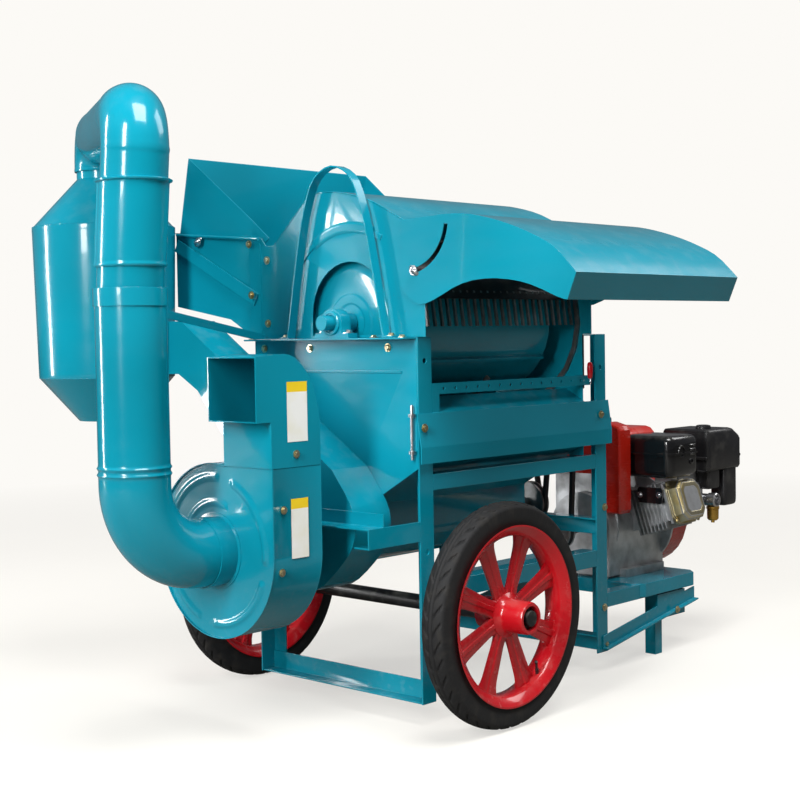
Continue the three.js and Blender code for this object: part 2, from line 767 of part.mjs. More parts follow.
const hopperSpan = [-hopperFlare - 2 * hopper.lip, rearWallFace + hopperFlare + 2 * hopper.lip];
const hopperSeat = frame.height + gap;
const floorPath = [
  [hopper.left, hopper.floorLeft],
  [hopper.floorBendX, hopper.floorBend],
  [left - gap, hopperSeat],
  [hopper.seatX, hopperSeat],
];

function hopperTray() {
  const topLine = [[hopper.right, hopper.lipRight], [hopper.left, hopper.lipLeft]];
  const outline = [...floorPath, [hopper.seatX, hopperSeat + sheet], ...topLine];
  const outer = slab("Y", outline, ...hopperSpan).intersect(flared(hopper.seatX + overrun, 0));
  const rimLine = slab("Y", ribbon([topLine[0], [hopper.left - hopper.lip, hopper.lipLeft]], sheet), ...hopperSpan);
  const beyond = box([hopper.left - hopper.lip, hopperSpan[0], 0], [hopperMouth, hopperSpan[1], hopper.cheekTop]);
  const rim = rimLine.intersect(flared(hopper.seatX, -hopper.lip)).intersect(beyond);
  const inside = offset(floorPath, sheet);
  inside[0] = [hopper.left + sheet, inside[0][1]];
  inside[3] = [hopper.seatX + 2 * overrun, hopperSeat + sheet];
  const high = hopper.lipLeft + overrun;
  const innerOutline = [...inside, [hopper.seatX + 2 * overrun, high], [hopper.left + sheet, high]];
  const inner = slab("Y", innerOutline, ...hopperSpan).intersect(flared(hopper.seatX + 2 * overrun, sheet));
  return cut(join(outer, rim), inner);
}

function hopperTop() {
  const inset = sheet + 2 * gap;
  const far = hopper.left + inset;
  const outline = [
    [far, hopper.cheekFoot],
    [hopper.cheekEnd - chamber.strip, hopper.pivotZ - chamber.foot],
    [hopper.cheekEnd, hopper.lipRight],
    [hopper.cheekTopX, hopper.cheekTop],
  ];
  const outer = slab("Y", outline, ...hopperSpan).intersect(flared(hopper.cheekEnd + overrun, inset));
  const high = hopper.cheekTop + overrun;
  const open = [
    [far + sheet, hopper.cheekFoot - overrun],
    [hopper.cheekEnd + overrun, hopper.pivotZ - chamber.strip],
    [hopper.cheekEnd + overrun, high],
    [hopper.cheekTopX + sheet, high],
    [hopper.cheekTopX + sheet, hopper.cheekTop],
    [far + sheet, hopper.cheekFoot],
  ];
  const inner = slab("Y", open, ...hopperSpan).intersect(flared(hopper.cheekEnd + 2 * overrun, inset + sheet));
  return cut(outer, inner).translate(-hopper.pivotX, 0, -hopper.pivotZ);
}

// A flat bar between two points, on edge along Z.
function strut(from, to, width, thick) {
  const a = new THREE.Vector3(...from);
  const b = new THREE.Vector3(...to);
  const geometry = new THREE.BoxGeometry(width, thick, a.distanceTo(b));
  const holder = new THREE.Object3D();
  holder.up.set(0, 0, 1);
  holder.position.copy(a).lerp(b, half);
  holder.lookAt(b);
  holder.updateMatrix();
  const turnOnEdge = new THREE.Matrix4().makeRotationZ(Math.PI * half);
  return solidFrom(geometry.applyMatrix4(turnOnEdge).applyMatrix4(holder.matrix));
}

function hopperStay(side) {
  const proud = stay.thick * half + gap;
  const y = side < 0 ? 0 : rearWallFace;
  const fromX = hopper.left + 2 * sheet;
  const faceY = (hopperMouth - fromX) * hopper.flare - sheet - gap;
  const from = [fromX, y + side * (faceY + proud), hopper.lipLeft - stay.width];
  const to = [shoulderX - stay.width * half, y + side * (proud + 2 * gap), frame.height + 3 * stay.width];
  return strut(from, to, stay.width, stay.thick);
}

const hopperGroup = new THREE.Group();
hopperGroup.add(
  meshOf("hopper_tray", hopperTray(), "enamel"),
  meshOf("hopper_top", hopperTop(), "enamel", [hopper.pivotX, 0, hopper.pivotZ]),
  meshOf("hopper_stay_front", hopperStay(-1), "enamel"),
  meshOf("hopper_stay_rear", hopperStay(1), "enamel"),
);

// Grain outlet: a drilled crossbar, a sloped plate and an outer plate over the right posts.
function outletChute() {
  const slopePath = [[-chute.slopeRun, chute.slopeTop], [gap + sheet * half, chute.slopeFoot]];
  const slope = slab("Y", ribbon(slopePath, sheet), sideFrom, rearWallFace - sheet - gap);
  const path = [[gap, chute.plateTop + 2 * sheet], [chute.proud, chute.fold], [chute.proud, chute.foot]];
  const plate = slab("Y", ribbon(path, sheet), -chute.ear, frame.depth + chute.ear);
  const pitch = (chute.crossTo - chute.crossFrom) / (chute.holes + 1);
  const middle = (chute.crossFoot + chute.crossTop) * half;
  const holes = Array.from({ length: chute.holes }, (unused, i) => {
    const place = [0, chute.crossFrom + (i + 1) * pitch, middle];
    return rod("X", chute.holeRadius, -2 * frame.thick, overrun, place, 8);
  });
  const bar = box([-frame.thick, sideFrom, chute.crossFoot], [0, chute.crossTo, chute.crossTop]);
  const tie = box([-frame.thick, sideFrom, chute.slopeFoot + sheet], [0, sideFrom + chute.crossTop - chute.crossFoot,
    chute.crossTop]);
  return cut(join(slope, plate, cut(bar, holes), tie));
}

// Lever beside the grain outlet: a hub on the crossbar, an arm and a grip.
function leverSolid() {
  const hub = rod("X", lever.grip, gap, gap + 2 * lever.grip, [0, 0, 0], 16);
  const arm = rod("Z", lever.rod, 0, lever.reach, [gap + lever.grip, 0, 0], 12);
  const grip = rod("Z", lever.grip - gap, lever.reach, lever.reach + lever.gripLength, [gap + lever.grip, 0, 0], 16);
  return join(hub, arm, grip);
}

const outletGroup = new THREE.Group();
outletGroup.add(
  meshOf("outlet_chute", outletChute(), "enamel"),
  meshOf("outlet_lever", leverSolid(), "red", [0, lever.y, lever.z]),
);

// Grain funnel: two slopes down to a round trough, closed by an end panel at each side.
function funnelPath(grow) {
  const slope = [
    [middleX + frame.width * half - funnel.edge, funnel.rightZ],
    [middleX + funnel.trough, funnel.slopeZ],
  ];
  const bowl = arc([middleX, auger.z], funnel.trough, 0, -180, 12);
  const mirror = slope.map(([x, z]) => [2 * middleX - x, z]).reverse();
  return offset([...slope, ...bowl, ...mirror], grow);
}

function funnelSolid() {
  const to = rearWallFace - sheet - gap;
  const panelTop = frame.height - frame.thick - gap;
  const path = funnelPath(0);
  const low = offset(path, funnel.lip);
  const boss = auger.shaft + gap;
  const centre = [middleX, auger.z];
  const panel = [[railHigh, panelTop], [railHigh, low[0][1]], ...low.slice(1, -1), [railLow, low[0][1]],
    [railLow, panelTop]];
  const front = slab("Y", panel, 0, sheet, [circle(auger.radius + sheet, 28, centre)]);
  const bead = box(
    [railLow + frame.leg, -funnel.beadHeight * half, funnel.bead],
    [railHigh - frame.leg, sheet * half, funnel.bead + funnel.beadHeight],
  );
  const rear = slab("Y", offset(path, sheet), to - sheet, to, [circle(boss, 24, centre)]);
  const bearingTube = tube("Y", boss, 2 * auger.shaft, to - sheet, rearWallFace + 2 * auger.shaft,
    [middleX, 0, auger.z], 24);
  const flanges = [[-frame.leg - gap, gap], [left - gap, left + frame.leg + gap]].map(([low, high]) =>
    box([low, frame.leg - frame.thick - gap, 0], [high, frame.leg + gap, frame.height]),
  );
  return cut(join(slab("Y", ribbon(path, sheet), 0, to), front, bead, rear, bearingTube), flanges);
}

// Suction fan's round housing with its upright outlet.
function suctionPath() {
  const fromDeg = Math.acos((suction.ductLeft - middleX) / suction.radius) / degree;
  const rim = arc([middleX, auger.z], suction.radius, fromDeg, 360, 26);
  rim[0][1] = Math.min(rim[0][1], suction.ductTop);
  return [...rim, [middleX + suction.radius, suction.ductTop]];
}

const bearingTubeRadius = fanArm.crossFoot - auger.z - gap;
const throwerFront = fanArm.crossFace + gap;
const throwerBack = -gap;

function suctionScroll() {
  const centre = [middleX, 0, auger.z];
  const shell = casing("Y", [suctionPath()], suction.front, suction.back);
  const eye = rod("Y", pipe.radius - 2 * sheet, suction.front - overrun, suction.front + overrun, centre, 24);
  const inner = pipe.radius + gap;
  const collar = tube("Y", inner, inner + sheet, suction.front - suction.collar, suction.front + sheet * half,
    centre, 24);
  const bearingTube = rod("Y", bearingTubeRadius, suction.back - sheet, throwerFront - gap, centre, 28);
  const bore = rod("Y", auger.shaft + gap, suction.back - overrun, throwerFront + overrun, centre, 24);
  return cut(join(cut(shell, eye), collar, bearingTube), bore);
}

function outletElbow() {
  const bend = arc([0, 0], 1, 0, 90, 10).map(([u, v]) => [
    elbow.bendY + u * (suction.back - elbow.bendY),
    elbow.bendZ + v * (elbow.top - elbow.bendZ),
  ]);
  const foot = suction.ductTop + gap;
  const outerPath = [[suction.back, foot], ...bend, [elbow.front, elbow.top - 2 * sheet]];
  const throat = [[elbow.front, elbow.foot], [suction.front, elbow.foot], [suction.front, foot]];
  return casing("X", [outerPath, throat], suction.ductLeft, middleX + suction.radius);
}

// Grain thrower's housing: a spiral that opens towards the cyclone.
const spiralShares = [[160, 0.564], [187, 0.564], [215, 0.564], [270, 0.59], [300, 0.654], [346, 0.788], [365, 0.917], [384, 0.968],
  [416, 1]];

function throwerScroll() {
  const spiral = smooth(
    spiralShares.map(([deg, share]) => [
      middleX + share * thrower.radius * Math.cos(deg * degree),
      auger.z + share * thrower.radius * Math.sin(deg * degree),
    ]),
    27,
  );
  const path = [[thrower.exitLowerX, thrower.exitLowerZ], ...spiral, [thrower.exitUpperX, thrower.exitUpperZ]];
  const shell = casing("Y", [path], throwerFront, throwerBack);
  const centre = [middleX, 0, auger.z];
  const eye = rod("Y", auger.radius + sheet, throwerBack - overrun, throwerBack + overrun, centre, 28);
  const bore = rod("Y", auger.shaft + 2 * sheet, throwerFront - overrun, throwerFront + overrun, centre, 24);
  return cut(shell, eye, bore);
}

function cycloneProfile(grow) {
  const c = cyclone;
  const mouth = pipe.upperRadius + gap + sheet;
  const neck = pipe.upperRadius - pipe.wall - 8 * gap;
  return [
    [mouth + grow, c.coneFoot],
    [c.radiusFoot + grow, c.bodyFoot],
    [c.radiusTop + grow, c.bodyTop],
    [neck + grow, c.neckFoot],
    [neck + grow, c.neckTop],
  ];
}

const cyclonePlace = [cyclone.x, cyclone.y, 0];

function throwDuctPaths() {
  const d = throwDuct;
  return [
    [[thrower.exitUpperX - gap, thrower.exitUpperZ], [d.upperX, d.upperZ], [cyclone.x, d.upperZ]],
    [[cyclone.x, d.mouthFoot], [d.foldX, d.mouthFoot], [d.lowerX, d.lowerZ],
      [thrower.exitLowerX - 3 * gap, thrower.exitLowerZ]],
  ];
}

const ductBack = throwerBack - 3 * sheet;

function throwDuctSolid() {
  const outer = revolve("Z", [[0, cyclone.coneFoot], ...cycloneProfile(gap), [0, cyclone.neckTop]], cyclonePlace, 36);
  return cut(casing("Y", throwDuctPaths(), throwerFront, ductBack), outer);
}

function cycloneSolid() {
  const profile = cycloneProfile(0);
  const wall = revolve("Z", [...ribbon(profile, sheet), profile[0]], cyclonePlace, 36);
  const [upper, lower] = throwDuctPaths();
  const window = slab("Y", [...offset(upper, sheet), ...offset(lower, sheet)], throwerFront + sheet, ductBack - sheet);
  return cut(wall, window);
}

// Suction pipe: from the fan's collar round a bend and up, then a gooseneck over to the cyclone.
function bead(radius, from, to, place) {
  return tube("Z", radius - pipe.wall * half, radius + pipe.beadRise, from, to, place, 24);
}

function suctionPipe() {
  const straight = pipe.y + pipe.bend;
  const corner = arc([straight, auger.z + pipe.bend], pipe.bend, 270, 180, 8);
  const path = [[suction.front - gap, auger.z], ...corner, [pipe.y, pipe.clampZ + pipe.clampHeight * half]];
  const points = path.map(([y, z]) => new THREE.Vector3(middleX, y, z));
  const body = tubeAlong(points, new THREE.Vector3(1, 0, 0), [pipe.radius, pipe.radius - pipe.wall]);
  return join(body, bead(pipe.radius, pipe.beadFoot, pipe.beadFoot + pipe.bead, [middleX, pipe.y, 0]));
}

function gooseneck() {
  const foot = pipe.clampZ - pipe.clampHeight * half;
  const sleeve = foot + pipe.clampHeight;
  const upright = new THREE.Vector3(middleX + pipe.lean, pipe.y, pipe.archFoot);
  const neck = new THREE.Vector3(cyclone.x, cyclone.y, pipe.end);
  const over = neck.clone().sub(upright).setZ(0).normalize();
  const up = new THREE.Vector3(0, 0, 1);
  const elbowAt = (centre, fromDeg, toDeg) => {
    const curve = arc([0, 0], pipe.elbow, fromDeg, toDeg, 5);
    return curve.map(([a, b]) => centre.clone().addScaledVector(over, a).addScaledVector(up, b));
  };
  const points = [
    new THREE.Vector3(middleX, pipe.y, foot),
    new THREE.Vector3(middleX, pipe.y, sleeve),
    ...elbowAt(upright.clone().addScaledVector(over, pipe.elbow), 180, 90),
    ...elbowAt(neck.clone().addScaledVector(over, -pipe.elbow), 90, 0),
    neck.clone().addScaledVector(up, -2 * sheet),
  ];
  const body = tubeAlong(points, up.clone().cross(over), [pipe.upperRadius, pipe.upperRadius - pipe.wall], 20);
  const rings = [pipe.sleeveFoot, pipe.sleeveTop].map((z) => {
    const x = middleX + (pipe.lean * (z + pipe.wall - sleeve)) / (pipe.archFoot - sleeve);
    return bead(pipe.upperRadius, z, z + 2 * pipe.wall, [x, pipe.y, 0]);
  });
  return join(body, rings);
}

function pipeClamp() {
  const inner = pipe.radius + gap;
  const low = pipe.clampZ - pipe.clampHeight * half;
  const high = low + pipe.clampHeight;
  const band = tube("Z", inner, inner + sheet, low, high, [middleX, pipe.y, 0], 24);
  const lugX = middleX - inner;
  const lug = box([lugX - pipe.clampHeight, pipe.y - sheet, low], [lugX - sheet * half, pipe.y + sheet, high]);
  const foot = frame.height + gap;
  const footX = shoulderX + chamber.foot;
  const strap = strut([lugX - pipe.clampHeight * half, pipe.y, pipe.clampZ], [footX, -chamber.foot * half, foot + sheet],
    pipe.clampHeight * half, sheet);
  const tab = box([footX - chamber.foot, -chamber.foot, foot], [footX + chamber.foot, -2 * sheet, foot + sheet]);
  const under = box([lugX - frame.width, pipe.y, 0], [0, 0, foot]);
  return cut(join(band, lug, strap, tab), under);
}

const fanGroup = new THREE.Group();
fanGroup.add(
  meshOf("grain_funnel", funnelSolid(), "enamel"),
  meshOf("suction_scroll", suctionScroll(), "enamel"),
  meshOf("outlet_elbow", outletElbow(), "enamel"),
  meshOf("thrower_scroll", throwerScroll(), "enamel"),
  meshOf("throw_duct", throwDuctSolid(), "enamel"),
  meshOf("cyclone", cycloneSolid(), "enamel"),
  meshOf("suction_pipe", suctionPipe(), "enamel"),
  meshOf("gooseneck", gooseneck(), "enamel"),
  meshOf("pipe_clamp", pipeClamp(), "enamel"),
);

// Fan shaft with its auger flight, the two fan wheels and the pulley.
function augerShaft() {
  const shaft = rod("Y", auger.shaft, auger.front, auger.end, [0, 0, 0], 24);
  const perTurn = 9;
  const steps = auger.turns * perTurn;
  const inner = auger.shaft - gap;
  const positions = [];
  const index = [];
  for (let i = 0; i <= steps; i++) {
    const angle = (turn * i) / perTurn;
    const y = auger.start + (auger.pitch * i) / perTurn;
    for (const [r, lift] of [[inner, 0], [auger.radius, 0], [auger.radius, auger.flight], [inner, auger.flight]]) {
      positions.push(r * Math.cos(angle), y + lift, r * Math.sin(angle));
    }
  }
  for (let i = 0; i < steps; i++) {
    for (let k = 0; k < 4; k++) {
      const a = 4 * i + k;
      const b = 4 * i + ((k + 1) % 4);
      index.push(a, b, a + 4, b, b + 4, a + 4);
    }
  }
  const last = 4 * steps;
  index.push(0, 2, 1, 0, 3, 2, last, last + 1, last + 2, last, last + 2, last + 3);
  const flight = new THREE.BufferGeometry();
  flight.setAttribute("position", new THREE.Float32BufferAttribute(positions, 3));
  flight.setIndex(index);
  return join(shaft, solidFrom(flight), fanPulleySolid());
}

function fanWheel(size) {
  const bore = auger.shaft + gap;
  const hub = rod("Y", size.hub, size.from, size.to, [0, 0, 0], 24);
  const disc = rod("Y", size.radius, size.to - size.blade, size.to, [0, 0, 0], 36);
  const blades = [];
  for (let i = 0; i < size.blades; i++) {
    const blank = new THREE.BoxGeometry(size.radius - size.hub * half, size.to - size.from, size.blade);
    blank.translate((size.radius + size.hub * half) * half, (size.to + size.from) * half, 0);
    blank.rotateY((turn * i) / size.blades);
    blades.push(solidFrom(blank));
  }
  return cut(join(hub, disc, blades), rod("Y", bore, size.from - overrun, size.to + overrun, [0, 0, 0], 24));
}

function fanPulleySolid() {
  const from = drumPulley.from;
  const to = from + drumPulley.width;
  return revolve("Y", [[0, from], ...grooved(fanPulley.radius, from, to), [0, to]], [0, 0, 0], 32);
}

const rotorGroup = new THREE.Group();
rotorGroup.position.set(middleX, 0, auger.z);
rotorGroup.add(
  meshOf("auger_shaft", augerShaft(), "steel"),
  meshOf("suction_wheel", fanWheel(suctionWheel), "steel"),
  meshOf("thrower_wheel", fanWheel(throwWheel), "steel"),
);

// Belts: a closed loop round two pulleys.
function beltLoop(a, radiusA, b, radiusB, y) {
  const from = new THREE.Vector2(...a);
  const to = new THREE.Vector2(...b);
  const along = to.clone().sub(from);
  const heading = Math.atan2(along.y, along.x) / degree;
  const loop = (grow) => {
    const spread = Math.acos((radiusA - radiusB) / along.length()) / degree;
    return [
      ...arc(a, radiusA + grow, heading + spread, heading + 360 - spread, 20),
      ...arc(b, radiusB + grow, heading - spread, heading + spread, 12),
    ];
  };
  return slab("Y", loop(belt.thick), y - belt.width * half, y + belt.width * half, [loop(0)]);
}

const drumAxis = [drum.x, drum.z];
const fanAxis = [middleX, auger.z];
const crankAxis = [engine.crankX, engine.crankZ];
const seatDepth = belt.thick;
const fanBeltY = drumPulley.from + drumPulley.width * half;
const mainBeltY = fanBeltY + drumPulley.width;
const driveGroup = new THREE.Group();
driveGroup.add(
  meshOf("fan_belt", beltLoop(drumAxis, drumPulley.smallRadius - seatDepth, fanAxis, fanPulley.radius - seatDepth,
    fanBeltY), "tyre"),
  meshOf("main_belt", beltLoop(drumAxis, drumPulley.radius - seatDepth, crankAxis, crank.pulley - seatDepth,
    mainBeltY), "tyre"),
);

// Engine tray: a deck with a turned-down rim and cut corners on two arms, propped from the posts' feet.
function trayOutline(inset) {
  const low = left - tray.proud + inset;
  const high = tray.proud - inset;
  const c = tray.corner - inset * half;
  const a = tray.from + inset;
  const b = tray.to - inset;
  return [[low + c, a], [high - c, a], [high, a + c], [high, b - c], [high - c, b], [low + c, b], [low, b - c], [low, a + c]];
}

function engineTray() {
  const deck = slab("Z", trayOutline(0), tray.foot, tray.top);
  const room = slab("Z", trayOutline(frame.thick), tray.foot - overrun, tray.top - frame.thick);
  const armTop = tray.top - frame.thick + gap;
  const from = frame.depth + gap;
  const arms = [[0, -1], [left, 1]].map(([x, sign]) => angleBar("Y", [x, armTop], [sign, -1], from, tray.armTo, tray.armLeg));
  return join(cut(deck, room), arms);
}

function trayProp(side) {
  const face = side > 0 ? gap : left - gap;
  const out = (low, high) => (side > 0 ? [face + low, face + high] : [face - high, face - low]);
  const t = frame.thick;
  const band = [
    [prop.fromY, prop.fromZ],
    [prop.toY, prop.toZ],
    [prop.toY, prop.toZ + prop.band],
    [prop.fromY, prop.fromZ + prop.band],
  ];
  const foldFrom = band.slice(0, 2);
  const web = slab("X", band, ...out(0, t));
  const fold = slab("X", ribbon(foldFrom, t), ...out(0, prop.band * half));
  const legIn = [-t - gap - prop.legSide, -t - gap];
  const across = side > 0 ? legIn : [left - legIn[1], left - legIn[0]];
  const slope = (prop.toZ - prop.fromZ) / (prop.toY - prop.fromY);
  const webFoot = prop.fromZ + slope * (prop.legY - prop.fromY);
  const armFoot = tray.top - t - tray.armLeg;
  const legTop = tray.top - 2 * t;
  const legHalf = prop.legSide * half;
  const leg = box([across[0], prop.legY - legHalf, -frame.groundClear], [across[1], prop.legY + legHalf, legTop]);
  const inner = box(
    [across[0] + t, prop.legY - legHalf + t, -frame.groundClear - overrun],
    [across[1] - t, prop.legY + legHalf - t, legTop - t],
  );
  const plateX = side > 0 ? [-t - gap - t, gap + t] : [left - gap - t, left + t + gap + t];
  const plate = box([plateX[0], prop.plateFrom, webFoot - t], [plateX[1], prop.plateTo, armFoot - gap]);
  return join(web, fold, cut(leg, inner), plate);
}

// Engine: crankcase with feet, a finned barrel leaning to the right and its head cover.
const engineMiddleY = (engine.caseFront + engine.caseBack) * half;

function leaning(geometry) {
  geometry.rotateY(-engine.tilt * degree);
  return solidFrom(geometry.translate(engine.crankX, engine.boreY, engine.crankZ));
}

function plateAcross(from, to, wideY, tall) {
  const geometry = new THREE.BoxGeometry(to - from, wideY, tall);
  return leaning(geometry.translate((from + to) * half, 0, 0));
}

function engineBlock() {
  const centre = [engine.crankX, 0, engine.crankZ];
  const foot = tray.top + gap;
  const body = rod("Y", engine.caseRadius, engine.caseFront, engine.caseBack, centre, 32);
  const rim = rod("Y", engine.caseRadius + 2 * sheet, engine.caseFront + engine.seal, engine.caseFront + engine.seal + 3 * sheet, centre, 32);
  const sump = slab("X",
    [[engine.caseFront, foot + 3 * sheet], [engine.caseBack, foot + 3 * sheet], [engine.caseBack, engine.crankZ],
      [engine.caseFront, engine.crankZ]],
    engine.crankX - engine.caseRadius + sheet, engine.crankX + engine.caseRadius - sheet);
  const feet = box(
    [engine.crankX - engine.footHalf, engine.footFrom, foot],
    [engine.crankX + engine.footHalf, engine.footTo, engine.footTop],
  );
  const barrel = plateAcross(0, engine.headTo, engine.boreWide * 2 * 0.8, engine.boreHalf * 2 * 0.8);
  const fins = [];
  for (let i = 0; i < engine.fins; i++) {
    const from = engine.finFrom + i * engine.finPitch;
    fins.push(plateAcross(from, from + engine.fin, 2 * engine.boreWide, 2 * engine.boreHalf + engine.finRise));
  }
  const head = plateAcross(engine.headTo - 2 * engine.fin, engine.headTo, 2 * engine.boreWide, 2 * engine.boreHalf);
  const backPlate = rod("Y", recoil.radius, engine.caseBack - 3 * sheet, engine.caseBack, centre, 36);
  const tankStays = [engine.caseFront + engine.seal, engine.caseBack - engine.seal].map((y) =>
    box([tank.left + tank.corner, y - sheet, engine.crankZ], [engine.crankX + tank.corner, y + sheet, tank.foot - gap]),
  );
  const exhaust = box(
    [engine.crankX + engine.finFrom + tank.corner, engine.boreY - muffler.corner, engine.crankZ + engine.boreHalf],
    [engine.crankX + engine.headTo - tank.corner, engine.boreY + muffler.corner, muffler.foot - gap],
  );
  const carburettor = box(
    [filter.left + engine.seal, engine.boreY + engine.boreHalf - 3 * sheet, filter.foot - engine.seal],
    [filter.right - filter.snout, filter.front + 2 * muffler.corner, filter.foot - gap],
  );
  return join(body, rim, sump, feet, barrel, fins, head, backPlate, tankStays, exhaust, carburettor, valveCover());
}

function valveCover() {
  const h = engine.coverHalf;
  const c = h / 3;
  const octagon = (grow) => [[-h, -h + c], [-h + c, -h], [h - c, -h], [h, -h + c], [h, h - c], [h - c, h], [-h + c, h],
    [-h, h - c]].map(([u, v]) => [u * grow, v * grow]);
  const from = engine.headTo - sheet;
  const layers = [[1, from, from + 3 * sheet], [0.9, from + 2 * sheet, engine.coverTo - 3 * sheet], [0.8, engine.coverTo - 4 * sheet, engine.coverTo]];
  return join(
    layers.map(([grow, low, high]) => {
      const geometry = new THREE.ExtrudeGeometry(shapeOf(octagon(grow)), { depth: high - low, bevelEnabled: false });
      geometry.translate(0, 0, low);
      geometry.applyMatrix4(planes.X);
      return leaning(geometry);
    }),
  );
}

function crankPulley() {
  const from = mainBeltY - drumPulley.width * half;
  const to = from + drumPulley.width;
  const profile = [[0, from - crank.inset], [crank.radius, from - crank.inset], [crank.radius, from], ...grooved(crank.pulley, from, to),
    [crank.radius * 2, to], [crank.radius * 2, to + crank.inset], [crank.radius, to + crank.inset],
    [crank.radius, engine.caseFront - gap], [0, engine.caseFront - gap]];
  return revolve("Y", profile, [0, 0, 0], 24);
}

function roundedBox(low, high, corner) {
  const [x0, z0] = [low[0] + corner, low[2] + corner];
  const [x1, z1] = [high[0] - corner, high[2] - corner];
  const outline = [
    ...arc([x1, z0], corner, -90, 0, 3),
    ...arc([x1, z1], corner, 0, 90, 3),
    ...arc([x0, z1], corner, 90, 180, 3),
    ...arc([x0, z0], corner, 180, 270, 3),
  ];
  return slab("Y", outline, low[1], high[1]);
}

function mufflerSolid() {
  const m = muffler;
  const shell = roundedBox([m.left, m.front, m.foot], [m.right, m.back, m.top], m.corner);
  const room = roundedBox(
    [m.left + sheet, m.front + sheet, m.foot + sheet],
    [m.right - sheet, m.back - sheet, m.top - sheet],
    m.corner,
  );
  const middle = [0, (m.front + m.back) * half + m.corner * half, (m.foot + m.top) * half];
  const mouth = rod("X", m.corner, m.right - overrun, m.right + overrun, middle, 20);
  const slits = [-1, 0, 1].map((i) => {
    const z = middle[2] + i * m.corner;
    return box([m.right - overrun, m.front + m.corner, z - sheet], [m.right + overrun, m.front + 3 * m.corner, z + sheet]);
  });
  return cut(shell, room, mouth, slits);
}

function airFilter() {
  const f = filter;
  const body = roundedBox([f.left, f.front, f.foot], [f.right, f.back, f.top], f.corner);
  const lid = roundedBox(
    [f.left + f.corner, f.front - 3 * sheet, f.foot + f.corner],
    [f.right - f.corner, f.back + 3 * sheet, f.top - f.corner],
    f.corner * half,
  );
  const snoutTo = f.front + f.snout * 1.5;
  const snout = roundedBox(
    [f.right - f.snout, f.front + f.corner, f.foot - f.snout],
    [f.right - f.corner * half, snoutTo, f.foot + f.corner],
    f.corner * half,
  );
  return join(body, lid, snout);
}

function tankSolid() {
  const t = tank;
  const shell = roundedBox([t.left, t.front, t.foot], [t.right, t.back, t.top], t.corner);
  const room = roundedBox(
    [t.left + sheet, t.front + sheet, t.foot + sheet],
    [t.right - sheet, t.back - sheet, t.top - sheet],
    t.corner,
  );
  const place = [(t.left + t.right) * half, (t.front + t.back) * half, 0];
  const neck = rod("Z", t.capRadius * 0.6, t.top - overrun, t.top + overrun, place, 20);
  return cut(shell, room, neck);
}

function fuelCap() {
  const t = tank;
  const rise = t.capTop - t.top - gap;
  const knurls = circle(t.capRadius, 10).map(([x, y]) => rod("Z", 2 * sheet, 0, rise * 0.8, [x, y, 0], 6));
  return join(rod("Z", t.capRadius, 0, rise, [0, 0, 0], 24), knurls);
}

// Recoil starter and fan shroud at the engine's far end: a cup with louvres and a raised nose.
function recoilSolid() {
  const r = recoil;
  const w = r.wall;
  const nose = r.nose;
  const profile = [
    [r.radius, r.from], [r.radius, r.to - nose], [r.radius - nose * half, r.to - w], [nose, r.to], [0, r.to],
    [0, r.to - w], [nose, r.to - w], [r.radius - nose * half - w, r.to - 2 * w], [r.radius - w, r.to - nose],
    [r.radius - w, r.from], [r.radius, r.from],
  ];
  const cup = revolve("Y", profile, [engine.crankX, 0, engine.crankZ], 28);
  const louvres = [];
  for (let i = 0; i < r.louvres; i++) {
    const blank = new THREE.BoxGeometry(r.radius - 2 * nose, 2 * nose, 2 * w);
    blank.translate((r.radius + nose) * half + w, r.to, 0);
    blank.rotateY((turn * (i + half)) / r.louvres);
    louvres.push(solidFrom(blank.translate(engine.crankX, 0, engine.crankZ)));
  }
  return cut(cup, louvres);
}

const engineGroup = new THREE.Group();
engineGroup.add(
  meshOf("engine_tray", engineTray(), "enamel"),
  meshOf("tray_prop_right", trayProp(1), "enamel"),
  meshOf("tray_prop_left", trayProp(-1), "enamel"),
  meshOf("engine_block", engineBlock(), "alloy"),
  meshOf("crank_pulley", crankPulley(), "steel", [engine.crankX, 0, engine.crankZ]),
  meshOf("muffler", mufflerSolid(), "black"),
  meshOf("air_filter", airFilter(), "black"),
  meshOf("fuel_tank", tankSolid(), "orange"),
  meshOf("fuel_cap", fuelCap(), "black", [(tank.left + tank.right) * half, (tank.front + tank.back) * half, tank.top + gap]),
  meshOf("recoil_housing", recoilSolid(), "orange"),
);

// The whole machine, moved so that its origin is on the ground under the middle of its outline.
const machine = new THREE.Group();
machine.add(frameGroup, wheelGroup, chamberGroup, hoodGroup, hopperGroup, outletGroup, fanGroup, rotorGroup, driveGroup,
  engineGroup);
const bounds = new THREE.Box3().setFromObject(machine);
const root = new THREE.Group();
machine.position.set(-(bounds.min.x + bounds.max.x) * half, -(bounds.min.y + bounds.max.y) * half, -bounds.min.z);
root.add(machine);

export default root;
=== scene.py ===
"""Looks of a wheeled threshing machine: enamel, wheels, pipes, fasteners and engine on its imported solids."""
import json
import logging
import math
from collections.abc import Iterator
from contextlib import contextmanager
from dataclasses import dataclass, field
from enum import Enum

import bmesh
import bpy
import numpy as np
from mathutils import Matrix, Vector


